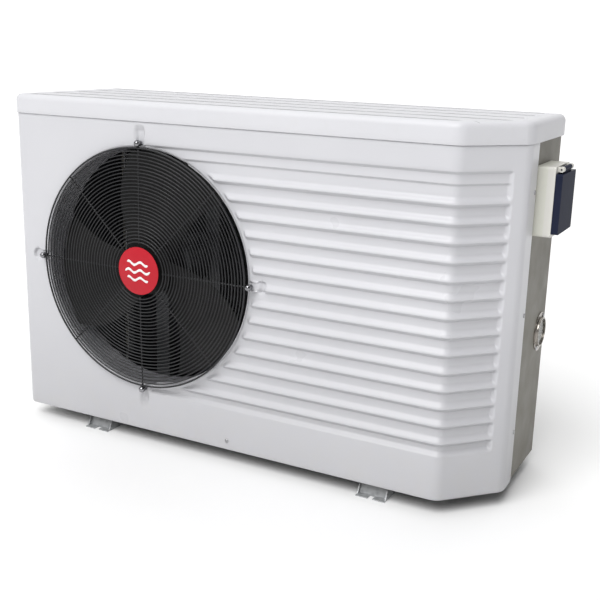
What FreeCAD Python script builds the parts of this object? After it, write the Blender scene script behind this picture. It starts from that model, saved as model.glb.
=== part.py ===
"""Swimming-pool heat pump: moulded casing, axial fan, refrigerant circuit, water exchanger, controller.

Frame: X to the right seen from the front, Y from the front to the back, Z up, in millimetres.
The origin is on the floor, at the centre of the four anchor slots of the foot rails.
"""
import FreeCAD
import Part

import math
import os

V = FreeCAD.Vector

# Casing
CASE_LEFT = -483.0
CASE_RIGHT = 517.0
CASE_FRONT = -156.0
CASE_BACK = 156.0
CASE_BOTTOM = 28.0
SEAM_Z = 631.0
TOP_Z = 668.0
CHAMFER_X = 90.0
CHAMFER_Y = 95.0
SHELL = 3.0
SHEET = 1.5
PAN_HEIGHT = 30.0
PANEL_GAP = 0.5
KNUCKLE_R = 28.0
FRONT_CORNER_R = 12.0
BACK_CORNER_R = 12.0
SHELL_LEFT_END = -96.0
SHELL_RIGHT_END = -14.0
BOTTOM_CORNER_R = 15.0

# Lid
LID_OVERHANG = 2.0
LID_EDGE_R = 11.0
GROOVE_FIRST_Y = CASE_FRONT + 14.0
GROOVE_PITCH = 66.0
GROOVE_COUNT = 5

# Ribbed field of the front shell, heights above the floor
RIB_COUNT = 14
RIB_PITCH = 31.35
RIB_FIRST_Z = CASE_BOTTOM + 103.5
RIB_DEPTH = 6.0
FIELD_BOTTOM = CASE_BOTTOM + 80.0
FIELD_TOP = CASE_BOTTOM + 562.0
FIELD_CHAMFER_END = 103.0

# Fan, grille and shroud
FAN_X = -183.0
FAN_Z = CASE_BOTTOM + 325.0
OPENING_R = 230.0
RIM_R = 242.0
LIP_DEPTH = 12.0
SHROUD_BACK = 62.0
LUG_R = 6.5
LUG_CIRCLE_R = 240.0
BLADE_R = 221.0
BLADE_COUNT = 3
BLADE_FRONT = CASE_FRONT + 16.0
BLADE_BACK = CASE_FRONT + 62.0
# Distance from the shaft, sweep angle and half width of the sections of one blade
BLADE_SECTIONS = ((30, 0, 40), (80, 4, 60), (130, 10, 84), (180, 18, 104), (235, 27, 112))
HUB_R = 52.0
HUB_BACK = CASE_FRONT + 66.0
SHAFT_R = 6.0
RUNNING_FIT = 0.05
MOTOR_FRONT = CASE_FRONT + 78.0
MOTOR_BACK = CASE_FRONT + 150.0
MOTOR_R = 58.0
WIRE_R = 1.1
GRILLE_R = 231.0
GRILLE_RINGS = 28
GRILLE_PITCH = 6.5
GRILLE_RISE = 3.0
GRILLE_STANDOFF = 7.0
NUT_CIRCLE_R = 239.0
BADGE_R = 47.0

# Foot rails and anchor slots
ANCHOR_X = 306.0
ANCHOR_Y = 148.0
FOOT_WIDTH = 56.0
FOOT_SHEET = 2.0
FOOT_TOP_Y = 132.0
FOOT_TAB_Y = 140.0
FOOT_FLANGE_Y = 151.0
SLOT_R = 5.0
SLOT_LENGTH = 16.0
NOTCH_DEPTH = 13.0
DRAIN = (-60.0, 60.0)

# Compartments
PARTITION_X = 117.0
COIL_BACK = 142.0
COIL_DEPTH = 32.0
COIL_BOTTOM = 36.0
COIL_TOP = 616.0
FIN_PITCH = 8.0
FIN_SHEET = 1.0
TUBE_R = 4.8
TUBE_PITCH = 25.4
TUBE_ROWS = 22
COIL_RIGHT = PARTITION_X - 8.0
COIL_LEFT = CASE_LEFT + 14.0
COIL_BEND = 60.0
COIL_FRONT_END = SHELL_LEFT_END + 10.0

# Compressor and water exchanger
COMP_X = 218.0
COMP_Y = -30.0
COMP_R = 68.0
COMP_FOOT_R = 80.0
COMP_BOTTOM = 52.0
COMP_TOP = 320.0
ACC_X = 312.0
ACC_Y = -82.0
ACC_R = 30.0
VESSEL_X = 400.0
VESSEL_Y = 0.0
VESSEL_R = 70.0
VESSEL_BOTTOM = 44.0
VESSEL_TOP = 430.0
WATER_IN_Z = 110.0
WATER_OUT_Z = 380.0
SOCKET_R = 25.0
SOCKET_LENGTH = 31.0
UNION_END_Y = 206.0
COIL_PORTS = ((VESSEL_X - 25.0, VESSEL_Y - 30.0), (VESSEL_X + 25.0, VESSEL_Y + 30.0))
SWITCH_Y = 112.0
PADDLE_AXIS_Z = WATER_IN_Z + 14.0

# Refrigerant line parts
VALVE_X = 215.0
VALVE_Y = 45.0
VALVE_Z = 400.0
VALVE_R = 16.0
DRIER = (300.0, 100.0)

# Right-hand side fittings
GAUGE_Y = 110.0
GAUGE_Z = 277.0
GAUGE_R = 26.5
BEZEL_R = 36.0
GAUGE_SCREW_CIRCLE = 31.8
NEEDLE_LENGTH = 19.5
NEEDLE_REST = 120.0
PANEL_X = CASE_RIGHT - SHELL
CTRL_Y0 = -6.0
CTRL_Y1 = 89.0
CTRL_Z0 = 474.0
CTRL_Z1 = CTRL_Z0 + 118.0
CTRL_BASE_X = PANEL_X + 18.0
CTRL_FACE_X = CTRL_BASE_X + 13.0
CTRL_COVER_X = CTRL_FACE_X + 12.0
HINGE_X = CTRL_FACE_X + 6.0
HINGE_Z = CTRL_Z1 - 5.0
DISPLAY_Y0 = 10.0
DISPLAY_Y1 = 73.0
DISPLAY_Z0 = CTRL_Z0 + 53.0
DISPLAY_Z1 = CTRL_Z0 + 93.0
BUTTON_YS = (18.0, 65.0)
BUTTON_ZS = (CTRL_Z0 + 15.0, CTRL_Z0 + 35.0)
BUTTON_W = 26.0
BUTTON_H = 11.0

# Rear panel, electrical box and screws
REAR_SPLIT_X = 500.0
GLAND_XS = (180.0, 220.0)
GLAND_Z = 540.0
PORT_X = 200.0
PORT_Z = 230.0
# Electrical box: left, right, front, back, bottom, top
EBOX = (132.0, 420.0, -128.0, 92.0, 506.0, 612.0)
SCREW_R = 2.0
SCREW_HEAD_R = 4.2
SCREW_HEAD = 1.8
FLANGE_SCREWS = [(CASE_RIGHT, -22.0, CASE_BOTTOM + height) for height in (98.0, 311.0, 522.0)]
FRONT_SCREW = (8.0, CASE_FRONT, CASE_BOTTOM + 17.0)
REAR_SCREWS = [(x, CASE_BACK, z) for x in (140.0, 490.0) for z in (60.0, 345.0, 600.0)]

X_AXIS = (1, 0, 0)
Y_AXIS = (0, 1, 0)
Z_AXIS = (0, 0, 1)


# Basic solids -------------------------------------------------------------------------------

def box(x0, x1, y0, y1, z0, z1):
    return Part.makeBox(x1 - x0, y1 - y0, z1 - z0, V(x0, y0, z0))


def rod(start, axis, radius, length):
    return Part.makeCylinder(radius, length, V(*start), V(*axis))


def ring(start, axis, outer, inner, length):
    return rod(start, axis, outer, length).cut(rod(start, axis, inner, length))


def fuse(*shapes):
    return shapes[0].multiFuse(list(shapes[1:])).removeSplitter()


def group(shapes):
    return Part.makeCompound(shapes)


def save(name, shape):
    if not shape.isValid():
        print("not valid:", name)
    shape.exportStep("parts/" + name + ".step")


# Plan outlines ------------------------------------------------------------------------------

def case_corners(inset):
    """Plan corners of the case, moved inwards by inset, as (x, y, radius), anticlockwise."""
    corners = [
        (CASE_LEFT, CASE_FRONT, FRONT_CORNER_R),
        (CASE_RIGHT - CHAMFER_X, CASE_FRONT, KNUCKLE_R),
        (CASE_RIGHT, CASE_FRONT + CHAMFER_Y, KNUCKLE_R),
        (CASE_RIGHT, CASE_BACK, BACK_CORNER_R),
        (CASE_LEFT, CASE_BACK, BACK_CORNER_R),
    ]
    moved = []
    for index, (x, y, radius) in enumerate(corners):
        before = corners[index - 1]
        after = corners[(index + 1) % len(corners)]
        into = V(x - before[0], y - before[1], 0).normalize()
        out = V(after[0] - x, after[1] - y, 0).normalize()
        normal_in = V(-into.y, into.x, 0)
        normal_out = V(-out.y, out.x, 0)
        bisector = (normal_in + normal_out).normalize()
        reach = inset / bisector.dot(normal_in)
        moved.append((x + bisector.x * reach, y + bisector.y * reach, max(radius - inset, 1.0)))
    return moved


def rounded_wire(corners, z):
    """Closed wire through (x, y, radius) corners, each rounded by a tangent arc."""
    arcs = []
    for index, (x, y, radius) in enumerate(corners):
        corner = V(x, y, z)
        before = corners[index - 1]
        after = corners[(index + 1) % len(corners)]
        back = (V(before[0], before[1], z) - corner).normalize()
        ahead = (V(after[0], after[1], z) - corner).normalize()
        half = back.getAngle(ahead) / 2
        middle = (back + ahead).normalize()
        reach = radius / math.tan(half)
        depth = radius / math.sin(half) - radius
        arcs.append((corner + back * reach, corner + middle * depth, corner + ahead * reach))
    edges = []
    for index, (start, middle, end) in enumerate(arcs):
        edges.append(Part.Arc(start, middle, end).toShape())
        following = arcs[(index + 1) % len(arcs)][0]
        edges.append(Part.LineSegment(end, following).toShape())
    return Part.Wire(edges)


def case_prism(inset, z0, z1):
    return Part.Face(rounded_wire(case_corners(inset), z0)).extrude(V(0, 0, z1 - z0))


def rounded_box(x0, x1, y0, y1, z0, z1, radius):
    """Box with its four vertical edges rounded."""
    corners = [(x0, y0, radius), (x1, y0, radius), (x1, y1, radius), (x0, y1, radius)]
    return Part.Face(rounded_wire(corners, z0)).extrude(V(0, 0, z1 - z0))


def polygon(points):
    return Part.Face(Part.makePolygon([V(*point) for point in points + [points[0]]]))


# Tubes --------------------------------------------------------------------------------------

def tube_path(points, bend):
    """Straight runs through the points, joined by tangent arcs of radius bend."""
    edges = []
    start = V(*points[0])
    for index in range(1, len(points) - 1):
        corner = V(*points[index])
        back = (V(*points[index - 1]) - corner).normalize()
        ahead = (V(*points[index + 1]) - corner).normalize()
        half = back.getAngle(ahead) / 2
        reach = bend / math.tan(half)
        depth = bend / math.sin(half) - bend
        arc_start = corner + back * reach
        arc_end = corner + ahead * reach
        if (arc_start - start).Length > 0.01:
            edges.append(Part.LineSegment(start, arc_start).toShape())
        middle = corner + (back + ahead).normalize() * depth
        edges.append(Part.Arc(arc_start, middle, arc_end).toShape())
        start = arc_end
    edges.append(Part.LineSegment(start, V(*points[-1])).toShape())
    return Part.Wire(edges)


def swept_rod(points, radius, bend):
    path = tube_path(points, bend)
    start = V(*points[0])
    direction = V(*points[1]) - start
    section = Part.Wire(Part.makeCircle(radius, start, direction))
    return path.makePipeShell([section], True, False)


def tube(points, radius, wall, bend):
    """Hollow tube along a path."""
    return swept_rod(points, radius, bend).cut(swept_rod(points, radius - wall, bend))


# Fasteners ----------------------------------------------------------------------------------

def screw(point, outward, length):
    """Pan-head screw: point is under the head, outward points out of the panel."""
    out = V(*outward)
    head = Part.makeCylinder(SCREW_HEAD_R, SCREW_HEAD, V(*point), out)
    shank = Part.makeCylinder(SCREW_R, length, V(*point), out * -1)
    return fuse(head, shank)


def screw_hole(point, outward, length):
    out = V(*outward)
    return Part.makeCylinder(SCREW_R + 0.1, length + 1.0, V(*point) + out * 0.5, out * -1)


# Front shell --------------------------------------------------------------------------------

def along_front(profile, start_x, chamfer_end):
    """Sweeps a closed (depth, height) profile along the front and round the chamfer knuckle."""
    turn = math.atan2(CHAMFER_Y, CHAMFER_X)
    reach = KNUCKLE_R * math.tan(turn / 2)
    bend_x = CASE_RIGHT - CHAMFER_X - reach
    first = polygon([(start_x, CASE_FRONT + depth, z) for depth, z in profile])
    straight = first.extrude(V(bend_x - start_x, 0, 0))
    second = polygon([(bend_x, CASE_FRONT + depth, z) for depth, z in profile])
    centre = V(bend_x, CASE_FRONT + KNUCKLE_R, 0)
    bend = second.revolve(centre, V(0, 0, 1), math.degrees(turn))
    third = second.copy()
    third.rotate(centre, V(0, 0, 1), math.degrees(turn))
    direction = V(math.cos(turn), math.sin(turn), 0)
    chamfer = third.extrude(direction * (chamfer_end - reach))
    return fuse(straight, bend, chamfer)


def rib_line():
    """Outer line of the ribbed field as (depth, height), from the bottom to the top."""
    line = [(0, FIELD_BOTTOM), (RIB_DEPTH, FIELD_BOTTOM + 6)]
    for index in range(RIB_COUNT):
        centre = RIB_FIRST_Z + index * RIB_PITCH
        line += [(RIB_DEPTH, centre - 10), (0.5, centre - 3.5)]
        line += [(0.5, centre + 2), (RIB_DEPTH, centre + 10)]
    line += [(RIB_DEPTH, FIELD_TOP - 27), (RIB_DEPTH / 2, FIELD_TOP - 21)]
    line += [(RIB_DEPTH / 2, FIELD_TOP - 6), (0, FIELD_TOP)]
    return line


def fan_cylinder(radius, depth0, depth1):
    return rod((FAN_X, CASE_FRONT + depth0, FAN_Z), Y_AXIS, radius, depth1 - depth0)


def nut_points():
    """Centres of the four grille fixings on the front face."""
    return [(FAN_X + NUT_CIRCLE_R * math.cos(angle), FAN_Z + NUT_CIRCLE_R * math.sin(angle))
            for angle in (0, math.pi / 2, math.pi, 1.5 * math.pi)]


def front_shell():
    band = case_prism(0, CASE_BOTTOM, SEAM_Z).cut(case_prism(SHELL, CASE_BOTTOM, SEAM_Z))
    behind = box(-600, 600, SHELL_RIGHT_END, 300, 0, 700)
    behind_left = box(-600, 0, SHELL_LEFT_END, 300, 0, 700)
    band = band.cut(behind).cut(behind_left)
    x_round = CASE_LEFT + BOTTOM_CORNER_R
    z_round = CASE_BOTTOM + BOTTOM_CORNER_R
    corner = box(CASE_LEFT - 1, x_round, -170, -80, CASE_BOTTOM - 1, z_round)
    corner = corner.cut(rod((x_round, -170, z_round), Y_AXIS, BOTTOM_CORNER_R, 100))
    band = band.cut(corner)

    window = [(-1, FIELD_BOTTOM), (4, FIELD_BOTTOM), (4, FIELD_TOP), (-1, FIELD_TOP)]
    window = along_front(window, FAN_X, FIELD_CHAMFER_END)
    band = band.cut(window.cut(fan_cylinder(RIM_R, -5, 20)))

    line = rib_line()
    inner = [(depth + SHELL, z) for depth, z in reversed(line)]
    ribs = along_front(line + inner, FAN_X, FIELD_CHAMFER_END).cut(fan_cylinder(RIM_R - SHELL, -5, 20))
    depth = RIB_DEPTH + SHELL
    cap = [(0, FIELD_BOTTOM), (depth, FIELD_BOTTOM), (depth, FIELD_TOP), (0, FIELD_TOP)]
    longer = along_front(cap, PARTITION_X, FIELD_CHAMFER_END + SHELL)
    cap = longer.cut(along_front(cap, PARTITION_X - 1, FIELD_CHAMFER_END))
    rim = fan_cylinder(RIM_R, 0, depth).cut(fan_cylinder(RIM_R - SHELL, 0, depth))
    lip = fan_cylinder(OPENING_R + SHELL, 0, LIP_DEPTH)
    shell = fuse(band, ribs, cap, rim, lip)
    shell = shell.cut(fan_cylinder(OPENING_R, -5, 20))

    bosses = [rod((x, CASE_FRONT + 1, z), Y_AXIS, 7.0, 9) for x, z in nut_points()]
    shell = fuse(shell, *bosses)
    holes = [rod((x, CASE_FRONT - 1, z), Y_AXIS, SCREW_R + 0.6, 8) for x, z in nut_points()]
    holes += [screw_hole(point, X_AXIS, 8) for point in FLANGE_SCREWS]
    holes.append(screw_hole(FRONT_SCREW, (0, -1, 0), 8))
    return shell.cut(group(holes))


# Lid and panels -----------------------------------------------------------------------------

def rounded_top(solid, radius):
    """Rounds the edges round a solid's flat top."""
    top = solid.BoundBox.ZMax
    rim = [edge for edge in solid.Edges
           if abs(edge.BoundBox.ZMin - top) < 0.01 and abs(edge.BoundBox.ZMax - top) < 0.01]
    return solid.makeFillet(radius, rim)


def top_cover():
    outer = rounded_top(case_prism(-LID_OVERHANG, SEAM_Z, TOP_Z), LID_EDGE_R)
    inner = rounded_top(case_prism(0.5, SEAM_Z - 1, TOP_Z - SHELL), LID_EDGE_R - SHELL)
    lid = outer.cut(inner)
    seat = case_prism(0.3, SEAM_Z, SEAM_Z + 6).cut(case_prism(SHELL + 4, SEAM_Z - 1, SEAM_Z + 7))
    stiffeners = [box(x - 1.5, x + 1.5, CASE_FRONT + 12, CASE_BACK - 12, TOP_Z - 10, TOP_Z - 2)
                  for x in (-330, -130, 70, 270)]
    lid = fuse(lid, seat, *stiffeners)
    grooves = []
    for index in range(GROOVE_COUNT):
        y = GROOVE_FIRST_Y + index * GROOVE_PITCH
        right = CASE_RIGHT - CHAMFER_X if index == 0 else CASE_RIGHT - 20
        grooves.append(box(CASE_LEFT + 20, right, y - 3, y + 3, TOP_Z - 1.5, TOP_Z + 1))
    return lid.cut(group(grooves))


def base_pan():
    z0 = CASE_BOTTOM
    inset = SHELL + SHEET
    tray = case_prism(inset, z0, z0 + PAN_HEIGHT).cut(case_prism(inset + SHEET, z0 + SHEET, z0 + 40))
    x_round = CASE_LEFT + BOTTOM_CORNER_R
    corner = box(CASE_LEFT - 1, x_round, -170, 170, z0 - 1, z0 + BOTTOM_CORNER_R)
    corner = corner.cut(rod((x_round, -170, z0 + BOTTOM_CORNER_R), Y_AXIS, BOTTOM_CORNER_R - inset, 340))
    tray = tray.cut(corner)
    drain = rod((DRAIN[0], DRAIN[1], z0 - 1), Z_AXIS, 12.0, 5)
    holes = [rod((x, y, z0 - 1), Z_AXIS, 4.2, 5) for x, y in compressor_feet()]
    holes.append(screw_hole(FRONT_SCREW, (0, -1, 0), 8))
    return tray.cut(group([drain] + holes))


def drain_spout():
    flange = rod((DRAIN[0], DRAIN[1], CASE_BOTTOM + SHEET), Z_AXIS, 17.0, 2)
    stem = rod((DRAIN[0], DRAIN[1], CASE_BOTTOM - 18), Z_AXIS, 11.9, 18 + SHEET)
    hose_end = rod((DRAIN[0], DRAIN[1], CASE_BOTTOM - 22), Z_AXIS, 8.0, 22)
    stem = stem.cut(box(-200, 200, -200, 200, 0, CASE_BOTTOM - 3))
    bore = rod((DRAIN[0], DRAIN[1], 0), Z_AXIS, 6.0, 60)
    return fuse(flange, stem, hose_end).cut(bore)


def right_side_panel():
    outer = case_prism(SHELL, CASE_BOTTOM + PANEL_GAP, SEAM_Z - PANEL_GAP)
    inner = case_prism(SHELL + SHEET, 0, 700)
    side = outer.cut(inner).common(box(400, 600, -52, 300, 0, 700))
    side = side.cut(box(400, REAR_SPLIT_X, 100, 300, 0, 700))
    holes = [screw_hole(point, X_AXIS, 8) for point in FLANGE_SCREWS]
    holes += [rod((500, GAUGE_Y, GAUGE_Z), X_AXIS, GAUGE_R + 0.5, 30)]
    holes += [rod((500, y, z), X_AXIS, SCREW_R + 0.1, 30) for y, z in gauge_screw_points()]
    holes += [rod((500, 40, CTRL_Z0 + 30), X_AXIS, 9.0, 30)]
    return side.cut(group(holes))


def rear_panel():
    outer = case_prism(SHELL, CASE_BOTTOM + PANEL_GAP, SEAM_Z - PANEL_GAP)
    inner = case_prism(SHELL + SHEET, 0, 700)
    panel = outer.cut(inner).common(box(PARTITION_X + 3, REAR_SPLIT_X - 0.2, 100, 300, 0, 700))
    holes = [rod((VESSEL_X, 100, z), Y_AXIS, SOCKET_R + 6.3, 100) for z in (WATER_IN_Z, WATER_OUT_Z)]
    holes += [rod((x, 100, GLAND_Z), Y_AXIS, 8.2, 100) for x in GLAND_XS]
    holes.append(rod((PORT_X, 100, PORT_Z), Y_AXIS, 9.2, 100))
    holes += [rod((x, 100, z), Y_AXIS, SCREW_R + 0.1, 100) for x, y, z in REAR_SCREWS]
    return panel.cut(group(holes))


def corner_post():
    x0 = CASE_LEFT + SHELL
    y1 = CASE_BACK - SHELL
    z0 = CASE_BOTTOM + PANEL_GAP + BOTTOM_CORNER_R
    z1 = SEAM_Z - PANEL_GAP
    leg_side = box(x0, x0 + SHEET, y1 - 30, y1, z0, z1)
    leg_back = box(x0, x0 + 30, y1 - SHEET, y1, z0, z1)
    return fuse(leg_side, leg_back)


def coil_guard():
    """Welded wire mesh over the back and the left side; the uprights lie inside the rails."""
    wire = 1.5
    z0 = CASE_BOTTOM + PAN_HEIGHT + 6
    z1 = SEAM_Z - 12
    x0 = CASE_LEFT + 6.5
    y1 = CASE_BACK - 6.5
    back_end = PARTITION_X + 2
    side_end = SHELL_LEFT_END + 6
    wires = []
    rails = int((z1 - z0) / 28)
    for index in range(rails + 1):
        z = z0 + index * (z1 - z0) / rails
        points = [(back_end, y1, z), (x0, y1, z), (x0, side_end, z)]
        wires.append(swept_rod(points, wire, 14.0))
    for index in range(11):
        x = back_end - 6 - index * 54.0
        wires.append(rod((x, y1 - 2 * wire, z0), Z_AXIS, wire, z1 - z0))
    for index in range(4):
        y = side_end + 8 + index * 62.0
        wires.append(rod((x0 + 2 * wire, y, z0), Z_AXIS, wire, z1 - z0))
    return group(wires)


def partition_panel():
    """Upright sheet between the two compartments; the coil's tubes pass through its back part."""
    x0 = PARTITION_X
    z0 = CASE_BOTTOM + SHEET
    y_front = CASE_FRONT + 14
    plate = box(x0, x0 + SHEET, y_front, COIL_BACK + 2, z0, SEAM_Z - 4)
    foot = box(x0 - 16, x0, y_front, 96, z0, z0 + SHEET)
    y_tube = COIL_BACK - COIL_DEPTH / 2
    holes = [rod((x0 - 1, y_tube, tube_height(row)), X_AXIS, TUBE_R + 0.5, SHEET + 2)
             for row in range(TUBE_ROWS)]
    return fuse(plate, foot).cut(group(holes))


def foot_rail(side):
    """Inverted pressed channel under the base; its end plates lean out to a slotted tab at each end."""
    x = side * ANCHOR_X
    half = FOOT_WIDTH / 2
    t = FOOT_SHEET
    pieces = [box(x - half, x + half, -FOOT_TOP_Y, FOOT_TOP_Y, CASE_BOTTOM - t, CASE_BOTTOM)]
    for edge in (x - half, x + half - t):
        outline = [(edge, -FOOT_FLANGE_Y, 0), (edge, FOOT_FLANGE_Y, 0),
                   (edge, FOOT_TOP_Y + t, CASE_BOTTOM), (edge, -FOOT_TOP_Y - t, CASE_BOTTOM)]
        pieces.append(polygon(outline).extrude(V(t, 0, 0)))
    for end in (-1, 1):
        plate = [(x - half, end * FOOT_TAB_Y, 0), (x - half, end * (FOOT_TAB_Y + t), 0),
                 (x - half, end * FOOT_TOP_Y, CASE_BOTTOM), (x - half, end * (FOOT_TOP_Y - t), CASE_BOTTOM)]
        pieces.append(polygon(plate).extrude(V(FOOT_WIDTH, 0, 0)))
        front = min(end * FOOT_TAB_Y, end * CASE_BACK)
        pieces.append(box(x - half, x + half, front, front + CASE_BACK - FOOT_TAB_Y, 0, t))
    rail = fuse(*pieces)
    notch = box(x - SLOT_R, x + SLOT_R, CASE_FRONT - 1, CASE_FRONT + NOTCH_DEPTH, -1, t + 1)
    reach = SLOT_LENGTH / 2 - SLOT_R
    slot = fuse(box(x - reach, x + reach, ANCHOR_Y - SLOT_R, ANCHOR_Y + SLOT_R, -1, t + 1),
                rod((x - reach, ANCHOR_Y, -1), Z_AXIS, SLOT_R, t + 2),
                rod((x + reach, ANCHOR_Y, -1), Z_AXIS, SLOT_R, t + 2))
    return rail.cut(notch).cut(slot)


# Fan side -----------------------------------------------------------------------------------

def fan_shroud():
    wall = fan_cylinder(OPENING_R + SHELL, LIP_DEPTH, SHROUD_BACK)
    flange = fan_cylinder(LUG_CIRCLE_R + LUG_R + 3, SHROUD_BACK - 4, SHROUD_BACK)
    lugs = []
    for angle in (45, 135, 225, 315):
        c = math.cos(math.radians(angle))
        s = math.sin(math.radians(angle))
        lug = fan_cylinder(LUG_R, RIB_DEPTH + SHELL, SHROUD_BACK)
        lugs.append(lug.translated(V(LUG_CIRCLE_R * c, 0, LUG_CIRCLE_R * s)))
    return fuse(wall, flange, *lugs).cut(fan_cylinder(OPENING_R, 0, SHROUD_BACK + 10))


def grille_depth(radius):
    """How far the ring wires stand in front of the casing at a radius."""
    return GRILLE_STANDOFF + GRILLE_RISE * (1 - radius / GRILLE_R)


def wire_ring(x, y, z, radius, wire):
    """Ring of wire square to the fan's axis; the wire has eight sides."""
    section = []
    for index in range(8):
        angle = (index + 0.5) * math.pi / 4
        section.append((x + radius + wire * math.cos(angle), y + wire * math.sin(angle), z))
    return polygon(section).revolve(V(x, y, z), V(0, 1, 0), 360)


def fan_grille():
    wires = []
    for index in range(GRILLE_RINGS):
        radius = GRILLE_R - index * GRILLE_PITCH
        wires.append(wire_ring(FAN_X, CASE_FRONT - grille_depth(radius), FAN_Z, radius, WIRE_R))
    inner = GRILLE_R - (GRILLE_RINGS - 1) * GRILLE_PITCH
    gap = 2 * WIRE_R / math.cos(math.atan2(GRILLE_RISE, GRILLE_R))
    for index in range(8):
        angle = index * math.pi / 4
        reach = NUT_CIRCLE_R - 5.5 if index % 2 == 0 else GRILLE_R
        direction = V(math.cos(angle), 0, math.sin(angle))
        start = V(FAN_X, CASE_FRONT - grille_depth(inner - 6) + gap, FAN_Z) + direction * (inner - 6)
        end = V(FAN_X, CASE_FRONT - grille_depth(reach) + gap, FAN_Z) + direction * reach
        wires.append(Part.makeCylinder(WIRE_R, (end - start).Length, start, end - start))
    for x, z in nut_points():
        wires.append(wire_ring(x, CASE_FRONT - GRILLE_STANDOFF + gap, z, 4.4, WIRE_R))
    return group(wires)


def grille_badge():
    back = CASE_FRONT - GRILLE_STANDOFF - GRILLE_RISE - WIRE_R - 0.1
    front = back - 4.0
    dome = Part.makeSphere(280.0, V(FAN_X, front + 280.0, FAN_Z))
    return rod((FAN_X, front, FAN_Z), Y_AXIS, BADGE_R, back - front).common(dome)


def grille_nuts():
    nuts = []
    eyelet_front = CASE_FRONT - GRILLE_STANDOFF + WIRE_R
    for x, z in nut_points():
        nut = rod((x, eyelet_front - 4, z), Y_AXIS, 6.0, 4)
        dome = Part.makeSphere(5.2, V(x, eyelet_front - 3.6, z))
        stud = rod((x, eyelet_front - 1, z), Y_AXIS, SCREW_R, CASE_FRONT - eyelet_front + 6)
        spacer = rod((x, CASE_FRONT - 3.5, z), Y_AXIS, 4.5, 3.5)
        nuts.append(fuse(nut, dome, stud, spacer))
    return group(nuts)


def blade_section(reach, sweep, half_width):
    """Closed flat section of one blade, square to the line that leaves the shaft at angle sweep."""
    steps = 6
    angle = math.radians(sweep)
    outward = V(math.sin(angle), 0, math.cos(angle))
    along = V(math.cos(angle), 0, -math.sin(angle))
    centre = V(FAN_X, 0, FAN_Z) + outward * reach
    upper = []
    lower = []
    for index in range(steps + 1):
        t = index / steps
        bulge = math.sin(math.pi * t)
        y = BLADE_FRONT + 3 + (BLADE_BACK - BLADE_FRONT - 6) * t - 5.0 * bulge
        thickness = V(0, 1.0 + 1.2 * bulge, 0)
        point = centre + along * ((2 * t - 1) * half_width) + V(0, y, 0)
        upper.append(point - thickness)
        lower.append(point + thickness)
    top = Part.BSplineCurve()
    top.interpolate(upper)
    bottom = Part.BSplineCurve()
    bottom.interpolate(lower)
    return Part.Wire([top.toShape(), Part.LineSegment(upper[-1], lower[-1]).toShape(),
                      bottom.toShape(), Part.LineSegment(lower[0], upper[0]).toShape()])


def fan_blades():
    blade = Part.makeLoft([blade_section(*section) for section in BLADE_SECTIONS], True, False)
    blade = blade.common(fan_cylinder(BLADE_R, -20, 120)).cut(fan_cylinder(HUB_R - 2, -20, 120))
    hub = rod((FAN_X, BLADE_FRONT + 4, FAN_Z), Y_AXIS, HUB_R, HUB_BACK - BLADE_FRONT - 4)
    hub = hub.cut(rod((FAN_X, BLADE_FRONT + 8, FAN_Z), Y_AXIS, HUB_R - 4, 80))
    boss = rod((FAN_X, BLADE_FRONT + 4, FAN_Z), Y_AXIS, 16, HUB_BACK - BLADE_FRONT - 4)
    pieces = [hub, boss]
    for index in range(BLADE_COUNT):
        turned = blade.copy()
        turned.rotate(V(FAN_X, 0, FAN_Z), V(0, 1, 0), index * 360.0 / BLADE_COUNT)
        pieces.append(turned)
    rotor = fuse(*pieces)
    return rotor.cut(rod((FAN_X, CASE_FRONT - 20, FAN_Z), Y_AXIS, SHAFT_R, 200))


def fan_shaft():
    start = BLADE_FRONT - 8
    return rod((FAN_X, start, FAN_Z), Y_AXIS, SHAFT_R, MOTOR_BACK - 8 - start)


def fan_nut():
    start = BLADE_FRONT - 6
    nut = ring((FAN_X, start, FAN_Z), Y_AXIS, 11.0, SHAFT_R, 10)
    flats = []
    for index in range(6):
        flat = box(FAN_X - 20, FAN_X + 20, start - 1, start + 6, FAN_Z + 9.5, FAN_Z + 20)
        flat.rotate(V(FAN_X, 0, FAN_Z), V(0, 1, 0), index * 60)
        flats.append(flat)
    return nut.cut(group(flats))


def fan_motor():
    case = rod((FAN_X, MOTOR_FRONT, FAN_Z), Y_AXIS, MOTOR_R, MOTOR_BACK - MOTOR_FRONT)
    nose = rod((FAN_X, MOTOR_FRONT - 5, FAN_Z), Y_AXIS, 20, 6)
    ears = []
    for angle in (45, 135, 225, 315):
        c = math.cos(math.radians(angle))
        s = math.sin(math.radians(angle))
        ears.append(rod((FAN_X + 62 * c, MOTOR_BACK - 8, FAN_Z + 62 * s), Y_AXIS, 10, 8))
    motor = fuse(case, nose, *ears)
    bore = rod((FAN_X, MOTOR_FRONT - 20, FAN_Z), Y_AXIS, SHAFT_R + RUNNING_FIT,
               MOTOR_BACK - MOTOR_FRONT + 14)
    cavity = rod((FAN_X, MOTOR_FRONT + 12, FAN_Z), Y_AXIS, MOTOR_R - 22, 44)
    core = rod((FAN_X, MOTOR_FRONT + 12, FAN_Z), Y_AXIS, 12, 44)
    return motor.cut(cavity.cut(core)).cut(bore)


def motor_bracket():
    """Two upright channels from the base to the lid, tied at the motor and at the top."""
    y0 = MOTOR_BACK
    pieces = []
    for side in (-1, 1):
        x = FAN_X + side * 62
        pieces.append(box(x - 16, x + 16, y0, y0 + 2, CASE_BOTTOM + SHEET, SEAM_Z - 6))
        for edge in (x - 16, x + 14):
            pieces.append(box(edge, edge + 2, y0, y0 + 18, CASE_BOTTOM + SHEET, SEAM_Z - 6))
    for z in (FAN_Z - 52, FAN_Z + 36):
        pieces.append(box(FAN_X - 78, FAN_X + 78, y0, y0 + 2, z, z + 16))
    pieces.append(box(FAN_X - 78, FAN_X + 78, y0, y0 + 18, SEAM_Z - 8, SEAM_Z - 6))
    return fuse(*pieces)


# Evaporator ---------------------------------------------------------------------------------

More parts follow.
